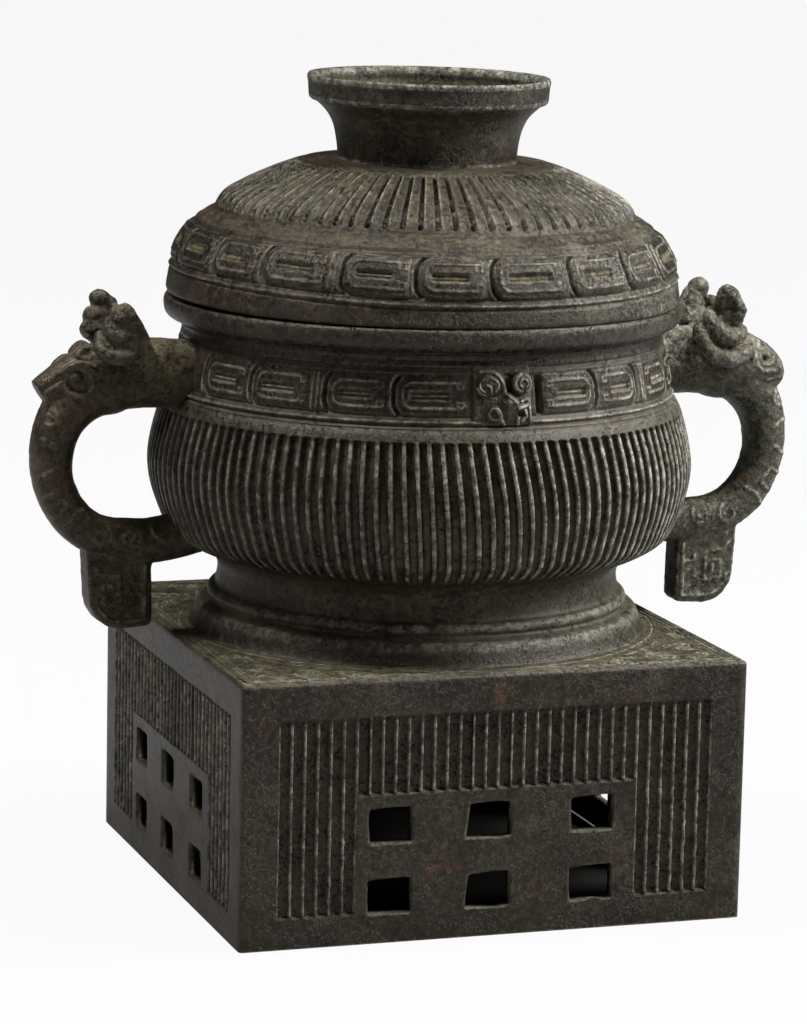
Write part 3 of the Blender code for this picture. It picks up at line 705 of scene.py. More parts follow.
def base_walls():
    """Ring of columns round four walls. Outer grid with relief, a coarser inner grid, and
    many-sided faces that join them at the windows, the foot and the top. The plan is kept as
    complex numbers x + yi, so a quarter turn is a product with i."""
    pitch = (PANEL[1] - PANEL[0]) / (CRESTS - 1)
    crest = PANEL[0] + pitch * np.arange(CRESTS)
    ribs = crest[:-1, None] + pitch * np.array((-0.07, 0.07, 0.17, 0.36, 0.64, 0.83))
    last_rib = crest[-1] + pitch * np.array((-0.07, 0.07))
    margin = PANEL[1] + np.array((0.6, 3, 6, 9, 12))
    jambs, lintels = ([edge for a, b in spans for edge in (a - 0.8, a, a + 1.6, b - 1.6, b, b + 0.8)]
                      for spans in (WINDOWS_ACROSS, WINDOWS_UP))
    across = np.unique(np.r_[-margin, ribs.ravel(), last_rib, margin, jambs])
    up = np.unique(np.r_[lintels, 0, 0.9, 4, 8, 13.2, 14.7, 17, 21, 25, 33, 38, 47, 51, 55, 62, 64, 64.7,
                         65.4, 66.2, 67.2, 69, 73, 78, 83, 88, 92, 94.5, 96, 97, 97.7, 98.3, 98.9, 99.5,
                         101, 105, 110, 113])
    u, z = np.meshgrid(across, up)
    around, pull = window_wear(u, z)
    share = (across - PANEL[0]) / pitch
    deep, w = flute_shape(share[None] + 0 * z, 0.07, 6.0)
    zone = (across > PANEL[0] - 0.3) & (across < PANEL[1] + 0.3)
    low = np.where(np.abs((np.floor(share) + 0.5) * pitch + PANEL[0]) < SHORT_ZONE, SHORT_FOOT, PANEL_FOOT)
    end = 1.2 * (1 - np.sqrt(np.clip(1 - w**4, 0, 1)))
    reach = ease((PANEL_TOP - end - z) / 0.9) * ease((z - low - 0.5 * end) / 0.9) * zone
    frayed = 0.35 * ease((SHORT_FOOT - 2 - z) / 3) * ease(z / 8)
    straight = BASE_HALF - BASE_CORNER
    bend = straight * (1 - 1j) - 1j * BASE_CORNER * np.exp(1j * np.radians((22.5, 45, 67.5)))
    plan, level, marks = [], [], []
    for side in range(4):
        sunk = BASE_FLUTE_DEPTH * deep * reach * (1 + 0.2 * wobble(u * 0.13, z * 0.06, seed=13 + side))
        rough = 0.22 * wobble(u * 0.11, z * 0.13, seed=20 + side) * ease(z / 6) * ease((BASE_TOP - 3 - z) / 6)
        ragged = pull + frayed * (wobble(z * 0.9, u * 0.4, seed=31 + side)
                                  + 1j * wobble(u * 0.8, z * 0.5, seed=41 + side))
        if side == 0:
            upper = 1.5 * (z - 51) / 8 * ease((z - 38) / 4) * ease((63 - z) / 4)
            lower = 1.2 * (z - 20) / 8 * ease((40 - z) / 4) * ease(z / 8)
            ragged = ragged + hump(u + 12, 4) * (upper + lower) + 1.6j * hump(u - 45, 4) * hump(z - 12.4, 5)
        wall = u + ragged.real - 1j * (BASE_HALF - sunk - rough * (sunk < 0.1))
        plan.append(np.c_[wall, np.tile(bend, (len(up), 1))] * 1j**side)
        level.append(np.c_[z + ragged.imag, z[:, :3]])
        uneven = 0.5 + 0.5 * wobble(u * 0.35, z * 0.5, seed=51 + side)
        dust = 0.35 * (sunk > 1.3) * uneven + 0.7 * around * uneven
        worn = np.maximum((reach > 0.5) * (deep < 0.02), 0.7 * around * uneven)
        marks.append([np.c_[mark, np.full((len(up), 3), fill)]
                      for mark, fill in ((dust, 0), (worn, 0.3), (0.8 * (sunk > 0.5), 0))])
    plan, level, marks = np.concatenate(plan, 1), np.concatenate(level, 1), np.concatenate(marks, 2)
    total = plan.shape[1]
    angles, onto_top = np.radians((22.5, 45, 67.5, 90, 90))[:, None], np.array((0, 0, 0, 0, 1.6))[:, None]
    plan = np.r_[plan, plan[-1:] * (1 - (BASE_CORNER * (1 - np.cos(angles)) + onto_top) / BASE_HALF)]
    level = np.r_[level, BASE_TOP - BASE_CORNER + BASE_CORNER * np.sin(angles) + np.zeros((1, total))]
    bevel_marks = np.array((0.15, 0.35, 0))[:, None, None] + np.zeros((3, 5, total))
    marks = np.concatenate((marks, bevel_marks), 1)

    edges, sills = np.searchsorted(across, WINDOWS_ACROSS), np.searchsorted(up, WINDOWS_UP)
    per_side = len(across) + 3
    keep = sorted({0, len(across) - 1, len(across) // 2, *edges.ravel()})
    keep_columns = np.add.outer(np.arange(4) * per_side, keep).ravel()
    keep_rows = [0, *sills.ravel(), len(plan) - 1]
    pick = np.ix_(keep_rows, keep_columns)
    quarter = 1j ** np.repeat(np.arange(4), len(keep))
    inset = BASE_HALF - BASE_WALL
    inner = (np.clip((plan[pick] / quarter).real, -inset, inset) - 1j * inset) * quarter
    inner_level = level[pick]
    inner_level[-1] = BASE_TOP - BASE_WALL
    outer_index, inner_index = numbered(plan), numbered(inner, plan.size)
    facing = outer_index[pick]
    closed_cells = np.ones((len(plan) - 1, total), bool)
    closed_lining = np.ones((len(keep_rows) - 1, len(keep_columns)), bool)
    faces = [face[2:][::-1] + face[1::-1] for face in bridge(outer_index[0], inner_index[0], facing[0])]
    faces += bridge(outer_index[-1], inner_index[-1], facing[-1])
    for side in range(4):
        for span in edges + side * per_side:
            for sill in sills:
                rows, columns = np.searchsorted(keep_rows, sill), np.searchsorted(keep_columns, span)
                closed_cells[slice(*sill), slice(*span)] = False
                closed_lining[slice(*rows), slice(*columns)] = False
                faces += bridge(outline_of(outer_index, sill, span), outline_of(inner_index, rows, columns),
                                outline_of(facing, rows, columns))
    by_size = {}
    for face in faces:
        by_size.setdefault(len(face), []).append(face)
    cells = quads(outer_index)[closed_cells.ravel()]
    lining = quads(inner_index)[closed_lining.ravel(), ::-1]
    plan, level = np.r_[plan.ravel(), inner.ravel()], np.r_[level.ravel(), inner_level.ravel()]
    points = np.stack((plan.real, plan.imag, level), -1) * MM
    return make_mesh("base_walls", points, [cells, lining, *map(np.array, by_size.values())], *marks, form=0)


base_bronze = patina("base patina", green=0.1, earth=0.8, rubbed=1.5, rust=0.6, brown=0.6, settled_dust=0.35,
                     pitted=0.6, level=0.72)
fit(base_walls(), base_bronze)

# The top of the base: a flat plate with a round opening under the foot. A double line runs inside
# its edge, and each corner is filled with finely cut curls, which are worked out for one corner.
HOLE_RADIUS = 97.0
FOOT_RADIUS = 102.0
CURLS = (((124.0, 12.5), 6.6, 2.0, 200), ((114.5, 33), 5.2, 1.8, 120), ((138.2, 4.6), 3.4, 1.4, 250, -1),
         ((109.4, 43.5), 3.6, 1.4, 60))
STROKES = (((116, 19.6), (109.8, 27)), ((118.6, 21.4), (112.6, 28)), ((131, 7), (133, 14.5)),
           ((113, 4.6), (120.2, 5.2)), ((112.8, 8.2), (111.4, 16.4)), ((106.2, 50), (104.4, 57)))


def curl(u, v, centre, reach, turns, start=0.0, hand=1):
    """Distance to a spiral line that winds in from its outer end at angle start (degrees)."""
    du, dv = u - centre[0], v - centre[1]
    turn = (hand * np.degrees(np.arctan2(dv, du)) - start) / 360 % 1
    pitch = reach / (turns + 0.3)
    lap = (reach - np.hypot(du, dv)) / pitch - turn
    return np.abs(lap - np.clip(np.round(lap), 0, np.floor(turns - turn))) * pitch


def strokes(u, v, *lines):
    """Distance to the nearest of several lines, each drawn straight from point to point."""
    parts = []
    for points in lines:
        for first, last in zip(np.array(points[:-1], float), np.array(points[1:], float)):
            run = last - first
            t = np.clip(((u - first[0]) * run[0] + (v - first[1]) * run[1]) / (run @ run), 0, 1)
            parts.append(np.hypot(u - first[0] - t * run[0], v - first[1] - t * run[1]))
    return np.minimum.reduce(parts)


def corner_cuts(x, y):
    """Distance to the cut lines of the top plate: border lines, a ring round the foot and curls
    in the corners. Places are folded into one corner, whose diagonal runs along +u."""
    radius = np.hypot(x, y)
    reach = np.maximum(np.abs(x), np.abs(y))
    u, v = (np.abs(x) + np.abs(y)) / math.sqrt(2), (np.abs(x) - np.abs(y)) / math.sqrt(2)
    cuts = [np.abs(reach - 109.2), np.abs(reach - 106.8), np.abs(radius - 107.2) + 9 * (np.abs(v) > 62),
            strokes(u, v, ((130.6, 0), (148, 0)), ((112.6, -4), (112.6, 4)))]
    for w in (v, -v):
        cuts += [curl(u, w, *shape) for shape in CURLS] + [strokes(u, w, *STROKES)]
    return np.where(radius > 103.6, np.minimum.reduce(cuts), 5)


def base_top():
    """Rows that pass from the square edge to the circle under the foot, then back beneath."""
    side = np.r_[np.linspace(-1, -0.45, 68), np.linspace(-0.45, 0.45, 34)[1:-1], np.linspace(0.45, 1, 68)]
    side = side[:-1]
    half = BASE_HALF - 1.7
    square = np.concatenate([np.stack((side * half * c + half * s, side * half * s - half * c), -1)
                             for c, s in ((1, 0), (0, 1), (-1, 0), (0, -1))])
    circle = square / np.linalg.norm(square, axis=1)[:, None]
    share = np.r_[0, np.linspace(0.01, 1, 76)][:, None, None]
    top = square * (1 - share) + circle * FOOT_RADIUS * share
    x, y = np.moveaxis(top, -1, 0)
    cut = line(corner_cuts(x, y), 0.22, 0.45)
    bumps = 0.18 * wobble(x * 0.12, y * 0.12, seed=51) * ease(share[..., 0] / 0.05)
    height = BASE_TOP + 0.02 - 0.5 * cut + bumps + 0.25 * ease((104.2 - np.hypot(x, y)) / 1.2)
    under = (circle * HOLE_RADIUS, circle * HOLE_RADIUS, square * 0.96, square)
    levels = BASE_TOP - np.array((0, BASE_WALL, BASE_WALL, 0.6))[:, None] + np.zeros((1, len(square)))
    points = np.concatenate((np.r_[top, under], np.r_[height, levels][..., None]), -1) * MM
    return make_mesh("base_top", points, [quads(numbered(points), wrap_rows=True)], 0.55 + 0.1 * cut)


fit(base_top(), base_bronze)

# ================================================================ handles
# Two handles, each a loop that springs from the neck as a stout arm, passes through a horned
# animal head, bends down and comes back to the belly, with a tab hanging below. They are cast over
# clay cores and run into the bowl without a joint.
VOXEL = 0.8
LOOP_MIDDLE = (140, 196)
SIGN_RADIUS = 36
SIGN_PITCH = 13.2
LOOP = np.array((  # outer x, z, inner x, z, width
    (100, 244.0, 103, 215.6, 30), (112, 245.2, 113, 215.6, 29), (122, 246, 122, 215.6, 28),
    (140, 245, 139, 214.8, 27), (158, 236, 150.4, 211, 25), (171, 221, 157.4, 203.4, 23.5),
    (177, 206, 159.8, 194.6, 22.5), (178, 192, 159.6, 186.4, 21.5), (174.2, 175, 154.6, 175.6, 21),
    (163.6, 159.2, 145.6, 168.4, 20.5), (146, 149.6, 132, 166.4, 20), (124, 146.6, 122, 166.6, 20),
    (101, 150.6, 110, 168.8, 21)))


def paced(rows, count):
    """Smooth run through rows of four numbers or more, paced by the mean of their first pairs."""
    rows = np.asarray(rows, float)
    return through(rows, count, rail=(rows[:, :2] + rows[:, 2:4]) / 2)


def capped(grid):
    """Closed skin over rings of points, with a pole at each end."""
    index = numbered(grid)
    points = np.r_[grid.reshape(-1, 3), [grid[0].mean(0), grid[-1].mean(0)]]
    return points, [quads(index), fan(index[0], index.size, False), fan(index[-1], index.size + 1, True)]


def bar(rows, square):
    """Bar of superelliptic section between an outer and an inner line in the x-z plane. square
    is 2 for an ellipse and more for a squarer section."""
    run = paced(rows, 60)
    angle = 2 * np.pi * np.arange(48) / 48
    c, s = (np.sign(part) * np.abs(part) ** (2 / square) for part in (np.cos(angle), np.sin(angle)))
    middle, half = (run[:, 0:2] + run[:, 2:4]) / 2, (run[:, 0:2] - run[:, 2:4]) / 2
    flat = middle[:, None] + half[:, None] * c[None, :, None]
    return capped(np.stack((flat[..., 0], run[:, 4:5] / 2 * s, flat[..., 1]), -1))


def rope(rows):
    """Round tube along a smooth 3-D path; rows hold x, y, z and radius."""
    run = paced(rows, 40)
    centre, radius = run[:, None, :3], run[:, None, 3:]
    ahead = np.gradient(run[:, :3], axis=0)
    ahead /= np.linalg.norm(ahead, axis=1)[:, None]
    across = np.cross(ahead, (0.31, 0.92, 0.24))
    across /= np.linalg.norm(across, axis=1)[:, None]
    other = np.cross(ahead, across)
    angle = (2 * np.pi * np.arange(20) / 20)[:, None]
    return capped(centre + radius * (across[:, None] * np.cos(angle) + other[:, None] * np.sin(angle)))


def bead(row):
    """Ellipsoid; row holds its middle and its three radii."""
    pole = np.linspace(0.12, np.pi - 0.12, 18)[::-1, None]
    angle = 2 * np.pi * np.arange(32) / 32
    flat = np.sin(pole)
    grid = np.stack((flat * np.cos(angle), flat * np.sin(angle), np.cos(pole) + 0 * angle), -1)
    return capped(row[:3] + grid * row[3:])


def tab():
    """Hanging tab: a flat plate with its outer lower corner rounded off."""
    bend = np.radians((-90, -66, -44, -22, -4))
    rounded = np.c_[138.6 + 14.6 * np.cos(bend), 133.0 + 14.6 * np.sin(bend)]
    outline = np.r_[((125, 157), (124.4, 121.6), (126.2, 119.4)), rounded, ((154.6, 157),)]
    ring = []
    for first, last in zip(outline, np.roll(outline, -1, 0)):
        steps = max(int(np.hypot(*(last - first)) / 2), 1)
        ring += [first + (last - first) * j / steps for j in range(steps)]
    middle = np.mean(ring, 0)
    rows = []
    for depth, shrink in ((-7.2, 0.93), (-6.6, 0.985), (-5.4, 1.0), (5.4, 1.0), (6.6, 0.985), (7.2, 0.93)):
        flat = middle + (ring - middle) * shrink
        rows.append(np.insert(flat, 1, depth, 1))
    points, faces = capped(np.array(rows))
    return points, [part[:, ::-1] for part in faces]


def merged(name, shapes):
    """One mesh of all the shapes, made into a single skin by a voxel remesh."""
    points, faces, start = [], [], 0
    for part_points, part_faces in shapes:
        points.append(part_points)
        faces += [part + start for part in part_faces]
        start += len(part_points)
    draft = make_mesh(name, np.concatenate(points) * MM, faces)
    remesh = draft.modifiers.new("one skin", "REMESH")
    remesh.mode, remesh.voxel_size, remesh.use_smooth_shade = "VOXEL", VOXEL * MM, True
    relax = draft.modifiers.new("relax", "SMOOTH")
    relax.factor, relax.iterations = 0.5, 2
    whole = bpy.data.meshes.new_from_object(draft.evaluated_get(bpy.context.evaluated_depsgraph_get()))
    whole.name = name
    old = draft.data
    bpy.data.objects.remove(draft)
    bpy.data.meshes.remove(old)
    return whole


def loop_signs(along, across):
    """Distance to the raised lines down the handle's side: signs that follow at an even pitch.
    The letters stand for scale, curl, slanting line and box."""
    signs = []
    for k, kind in enumerate("sccslbsccslbsc"):
        at = SIGN_PITCH * k - 44
        if kind == "s":
            signs.append(np.abs(np.hypot(along - at - 3, (across - 1) * 0.8) - 6.4) + 6 * (along > at))
        elif kind == "c":
            signs.append(curl(along, across, (at, 1.2), 4.6, 1.5, start=40 * k))
        elif kind == "l":
            signs.append(strokes(along, across, ((at - 3, -4.6), (at + 2, 6))))
        else:
            signs.append(np.abs(rounded_box(along - at, across - 1, -4.4, 4.4, 4.2, 1.2, 1.2)))
    return np.minimum.reduce(signs)


def tab_signs(x, z):
    """Distance to the raised lines on a tab: a border, two hooked strokes and a square curl."""
    bend = np.abs(np.hypot(x - 139, z - 133) - 10.8) + 9 * ((z > 133) | (x < 139))
    return np.minimum(bend, strokes(
        x, z, ((139.6, 122.2), (128, 122.4), (128, 148)), ((128, 138.4), (133.4, 138.8), (133.8, 141.4)),
        ((128, 134.4), (133.8, 134.8), (134, 131)),
        ((150.6, 147), (147.6, 143.4), (139.4, 142.4), (138.6, 129.4), (146.4, 130.6), (146.6, 138.6),
         (142.6, 138.2), (142.6, 133.8))))


def head_parts(head):
    """What stands out of an animal head: brow, horn and eye on each flank."""
    shapes = []
    for flank, (ropes, beads) in ((-1, head["front_horn"]), (1, head["rear_horn"])):
        shapes += [rope(np.multiply(rows, (1, flank, 1, 1))) for rows in head["brow"] + ropes]
        shapes += [bead(np.multiply(row, (1, flank, 1, 1, 1, 1))) for row in [head["eye"]] + beads]
    return shapes


def handle(name, side, shift, head, clean):
    """One handle, built on the +X side in mm and turned over for the other. head holds what
    differs between the two heads; clean is how bright its raised lines are."""
    mesh = merged(name, [bar(LOOP, 2.5), bar(head["snout"], 2.3), tab()] + head_parts(head))
    place, outward = read_points(mesh)
    x, y, z = place.T / MM
    flank = ease((np.abs(outward[:, 1]) - 0.35) / 0.3)
    dx, dz = x - LOOP_MIDDLE[0], z - LOOP_MIDDLE[1]
    radial = np.hypot(dx, dz)
    signs = loop_signs(-SIGN_RADIUS * np.arctan2(dz, dx), radial - SIGN_RADIUS + 1)
    signs = signs + 9 * ((z > 219) | (x < 118) | (radial < 27.5))
    raised = line(signs, 0.42, 0.5) * flank * ease((222 - z) / 3)
    on_tab = (z < 150) & (np.abs(outward[:, 1]) > 0.6)
    lines = line(tab_signs(x, z) + 9 * ~on_tab, 0.35, 0.5) * ease((149 - z) / 3)
    at_head = flank * (np.abs(y) > 5) * (z > 217) * (z < 243)
    eye_x, _, eye_z, ball, *_ = head["eye"]
    socket_x, socket_z, socket_radius = head["socket"]
    socket = np.hypot(x - socket_x, z - socket_z)
    off_ball = np.hypot(x - eye_x, z - eye_z) > ball - 0.2
    hollow = ease((socket_radius - socket) / 1.4) * off_ball * at_head
    ring = hump(socket - socket_radius - 1.0, 0.8) * at_head
    crease = hump(strokes(x, z, *head["crease"]), 0.9) * at_head
    # The raised lines of head["lines"] are also given rubbed light: a painted highlight along them.
    brow = line(strokes(x, z, *head["lines"]), 0.45, 0.5) * at_head
    lumpy = 0.3 * wobble(x * 0.23 + 0.3 * z, y * 0.31 - 0.2 * x, z * 0.27, seed=62)
    crust = wobble(x * 1.1 + 0.4 * y, y * 1.3 - 0.3 * z, z * 1.2 + 0.2 * x, seed=66, octaves=4)
    lumpy = lumpy + head["crust"] * (0.5 + ease((z - 246) / 8)) * crust * ease((x - 122) / 10)
    push = 0.6 * raised + 0.6 * lines + 0.5 * brow + 0.5 * ring - 1.1 * hollow - 1.0 * crease + lumpy
    place = place + outward * push[:, None] * MM
    place[:, 0] = side * (place[:, 0] + shift * MM)
    if side < 0:
        mesh.flip_normals()
    place_points(mesh, place)
    # Earth colour and rubbed light on the arm near the neck: partly earth, partly a painted pool of light
    # where the head shades the arm.
    arm = ease((136 - x) / 8) * ease((z - 222) / 14)
    arm = arm * (1.1 + 0.5 * wobble(x * 0.5, y * 0.6, z * 0.5, seed=71))
    dust = arm + 0.8 * ring + 0.3 * crease + 0.25 * (np.abs(signs - 1.2) < 0.6) * flank
    worn = clean * np.maximum.reduce((raised, lines, 0.9 * np.clip(arm, 0, 1)))
    bare = head["bare"] * ease((z - 222) / 6) * ease((x - 128) / 6)
    mark_form(mesh, dust, np.maximum(worn, brow), bare, form=0.6)
    return as_object(name, mesh)


# What differs between the heads, in mm. snout: outer x, z, inner x, z and width. brow and horns:
# ropes of x, y, z and radius; eye and each horn's second list: beads of middle and three radii.
# socket: x, z and radius. crease and lines: sunk and raised lines in the x-z plane; the raised
# lines are coloured light as a painted highlight. bare and
# crust: how smooth and dark, and how rough, the head's metal is.
LEFT_HEAD = {
    "snout": ((126, 241, 130, 219, 22), (138, 245, 140, 213.4, 27), (147, 245.2, 150, 212.4, 27),
              (157, 241.6, 158, 212.6, 24), (164, 238, 164.4, 213.6, 20.5), (170, 233.8, 170, 216.4, 17.4),
              (175, 230.2, 172.6, 219.6, 14.2), (177.4, 228.2, 173.6, 221, 11.5)),
    "eye": (160.6, 9.6, 231.4, 3.3, 3.2, 3.1),
    "socket": (159.4, 229, 4.9),
    "crease": (((173.8, 225.6), (166.4, 230.8), (163.6, 234.4)),),
    "lines": (((166.6, 233.2), (163.8, 236.2), (160.2, 237.6), (155.2, 236.4)),
              ((165, 236.6), (161, 239.8), (154.6, 238.8))),
    "bare": 0.4,
    "crust": 0.12,
    "brow":
        [((169.6, 6.6, 230.4, 0.7), (165, 9.4, 234.4, 1.4), (160.8, 11, 236.6, 1.6),
          (156.6, 11.8, 236.2, 1.6), (153, 12, 234, 1)),
         ((152.6, 4, 241.6, 2), (156.4, 5.4, 241.6, 2.4), (159.6, 6, 239.4, 1.4))],
    "front_horn": (
        [((131.4, 12, 236, 6.6), (134.8, 14.6, 246, 6.2), (138.4, 16.4, 254, 5.2), (141.6, 17.6, 261, 3.8),
          (142.6, 18, 263, 2.6)),
         ((150.2, 11.6, 250.6, 2.2), (151.2, 15, 245.6, 3.3), (148.2, 18.4, 241.6, 3.8),
          (142, 20, 240.2, 3.4), (134.6, 18.4, 241.6, 1.4)),
         ((147.2, 13.8, 258, 1.8), (147.4, 16.4, 252.8, 3), (144.6, 19.2, 249.4, 3.4),
          (139, 19.4, 249.4, 1.6)),
         ((145.4, 15.6, 264, 1.2), (145.4, 17.2, 260.4, 2.2), (143, 19.8, 257.6, 2.5),
          (139.4, 19, 257.4, 1.2))],
        [(141.6, 14.2, 244.6, 10.4, 6.8, 6.4), (141.8, 15.6, 252.4, 7.2, 5.4, 5.4)]),
    "rear_horn": (
        [((141.4, 14, 244, 7.4), (142.6, 16, 252, 5.6), (143, 16.8, 258, 4.4)),
         ((149.6, 10, 250.6, 3.2), (148.6, 16, 248, 4), (143.6, 19.4, 245.8, 4), (137, 18.4, 245, 2.4)),
         ((148.4, 12.4, 256.4, 3.2), (147, 16.6, 253.6, 4), (143.2, 19.6, 252.2, 3.8),
          (138, 18.6, 252, 2.2))],
        [(143.4, 17, 261.4, 4.8, 4.7, 4.4), (139.6, 17, 259.2, 4.2, 4.4, 3.6),
         (139.6, 12, 242.4, 8.4, 6.6, 5.6)])}
RIGHT_HEAD = {
    "snout": ((126, 241, 130, 219, 22), (138, 244.6, 140, 213.4, 28), (148, 245.4, 150, 212.4, 30),
              (157, 243.6, 158, 212.2, 28), (164, 240, 165, 213.4, 25.6), (169.4, 236.2, 170, 215.8, 23),
              (173.4, 231.6, 173.6, 219, 19), (175.4, 227.6, 175, 222.4, 13)),
    "eye": (164.2, 11, 233.2, 2, 3, 1.9),
    "socket": (164.2, 233, 3),
    "crease": (((160, 240), (157.6, 230.4)), ((172.6, 222.4), (165, 220.8), (160.6, 221.6))),
    "lines": (((161.2, 239.6), (158.8, 234.6), (158.8, 229.6), (161.6, 226.6), (168.6, 226)),
              ((164.4, 221.8), (171.4, 223.4))),
    "bare": 0.15,
    "crust": 0.34,
    "brow":
        [((156.6, 12.6, 239.6, 0.8), (156.4, 13.4, 233.4, 1.6), (158.6, 12.8, 227.4, 0.8))],
    "front_horn": (
        [((129.6, 13, 249, 2.2), (129.2, 17.4, 243.4, 3.5), (134, 19.8, 236.2, 4), (139.8, 20.4, 233.8, 4.2),
          (145.8, 18.6, 233.8, 4), (151.6, 15.6, 235.4, 3.4), (154, 13, 238, 2.2)),
         ((135, 14, 256, 2.4), (134.4, 18, 249.4, 3.6), (137.6, 20, 244.8, 4.1), (142, 20.2, 243.2, 4.1),
          (147, 18.4, 243.8, 3.5), (150.4, 14.6, 247, 2.2)),
         ((138.2, 14.6, 255.4, 2.8), (138.8, 17.4, 260.4, 3.2), (142.4, 19, 262.2, 3.2),
          (145.4, 19.4, 258, 3), (144.4, 19.6, 252.6, 2.4))],
        [(141, 14, 244, 9, 6, 9), (142.6, 16.6, 261.4, 4.6, 4.4, 4.4), (145, 17, 251.4, 4.6, 4.2, 4.2),
         (141.6, 15.6, 253, 5, 4.6, 8), (145.2, 16.4, 256.6, 3.8, 4, 4.4)]),
    "rear_horn": (
        [((134.4, 13, 245, 7.6), (136.6, 14.6, 254, 6), (138.4, 15, 261, 4.4)),
         ((149.4, 11, 252, 3), (147.6, 15.6, 254.2, 4), (143, 18.6, 252.4, 3.6), (137.4, 18, 252, 2.4)),
         ((150, 11, 245, 2.6), (148, 17, 245.4, 3.8), (142, 20, 243.6, 3.8), (134, 18, 243, 2.4))],
        [(140.4, 15, 261.6, 4.9, 4.8, 5), (139, 13, 246, 7.6, 6.6, 8)])}

left_bronze = patina("left handle patina", green=0.35, earth=0.8, rubbed=0.8, brown=1.2, settled_dust=0.5)
right_bronze = patina("right handle patina", green=0.6, earth=0.9, rubbed=1.0, rust=1.0, brown=1.0,
                      settled_dust=0.8, pitted=0.8)
fit(handle("left_handle", -1, 0, LEFT_HEAD, 0.2), left_bronze)
fit(handle("right_handle", 1, -1.6, RIGHT_HEAD, 0.95), right_bronze)

# ================================================================ masks
# A small animal mask stands out of the band between the handles, front and back: two coiled
# horns above, a ridged nose between them and hooked jaws below. The back one is plainer.
MASK_WIDTH = 26.4
MASK_LOW, MASK_HIGH = 220.6, 246.6


def mask_relief(u, v):
    """Height, dust, worn and bare marks of the mask; u to the right, v up from its middle, in mm.
    The height is a low nose and cheeks, two discs for the horns, then the raised lines on top."""
    nose = 3.0 * hump(np.abs(u - 1.4) * 0.9 + np.abs(v + 2.6) * 0.5, 3.4)
    cheek = 1.6 * hump(np.abs(u - 1.4) - 5.4, 4.4) * hump(v + 6.4, 5.0)
    height = 0.7 + nose + cheek
    left = np.hypot((u + 6.0) / 6.1, (v - 4.6) / 5.2)
    left_disc = 1 - ease((left - 0.9) / 0.16)
    right = np.hypot(u - 8.3, v - 5.3)
    right_disc = 1 - ease((right - 4.4) / 0.8)
    height = height * (1 - left_disc) + left_disc * (2.2 - 0.7 * left**2)
    height = height * (1 - right_disc) + right_disc * (4.2 - 1.6 * (right / 4.6) ** 3)
    turn = np.degrees(np.arctan2(v - 4.4, u + 6.1))
    loop = np.abs(np.hypot((u + 6.1) / 4.1, (v - 4.4) / 3.1) - 1) * 3.5 + 9 * ((turn > -125) & (turn < -38))
    outside = np.abs(left - 0.9) * 5.6 + 9 * ((turn > -110) | (turn < -172))
    drop = np.minimum(np.hypot(u + 3.2, v - 2.0) - 0.3, np.abs(np.hypot(u + 4.2, v + 7.4) - 2.4))
    thin = strokes(u, v, ((-7.2, 4.6), (-5.6, 4.0), (-5.2, 1.0)), ((-5.6, -0.9), (-4.6, -1.0)),
                   ((-3.8, -0.9), (-3.2, -1.1)))
    thick = strokes(u, v, ((-9.9, 10.3), (-3.9, 10.0), (-0.8, 7.8), (0.5, 4.6), (0.7, 1.0)),
                    ((-3.3, -5.3), (-1.7, -7.7), (-1.5, -9.6), (-0.1, -12.4)),
                    ((6.3, -5.0), (9.6, -4.2), (11.6, -3.3)), ((11.4, -5.0), (11.5, -12.6)),
                    ((5.9, -9.4), (5.9, -12.6)), ((9.2, -6.2), (9.8, -8.4), (7.6, -10.6)),
                    ((7.8, -2.2), (9.8, -1.6), (11.7, -2.2)))
    fine = line(np.minimum.reduce((loop, outside, drop, thin)), 0.14, 0.42)
    bold = line(thick, 0.35, 0.6)
    # The light stroke on the nose is a painted highlight, carried as rubbed light.
    lit = line(strokes(u, v, ((2.4, 0.2), (4.6, -1.4), (5.4, -2.6))), 0.5, 1.0)
    # The horn rings are raised and rubbed light; their left part is lighter still, a painted highlight.
    rings = hump(right - 3.7, 0.75) * (0.55 + 0.45 * ease((8.6 - u) / 2.5))
    rings = np.maximum(rings, 0.7 * hump(right - 1.7, 0.4)) * (1 - line(u - 8.5, 0.2, 0.4))
    shade = (1 - ease((np.abs(u - 2.5) - 1.0) / 0.7)) * ease((v - 0.4) / 1.2) * ease((9.6 - v) / 1.2)
    pits = 1 - ease((np.hypot(u - 7.0, v + 7.4) - 1.0) / 0.7)
    height = height + 0.45 * fine + 0.9 * bold + 0.8 * lit + 0.8 * rings - 1.6 * shade - 1.4 * pits
    # The sunk gap beside the nose (shade) is painted black as painted shade; the left horn disc, the pits and
    # the lower left quarter are made dark too.
    black = np.clip(0.9 * left_disc * (1 - fine) + shade + pits + 0.5 * (u < 3) * (v < 0), 0, 1)
    dust = 0.5 * (1 - ease((height - 0.8) / 0.8)) * (1 - black) + 0.8 * ease((u - 10.6) / 1.2) * (1 - bold)
    return height, dust, np.clip(0.75 * fine + 0.9 * bold + lit + rings, 0, 1), black * (1 - bold)


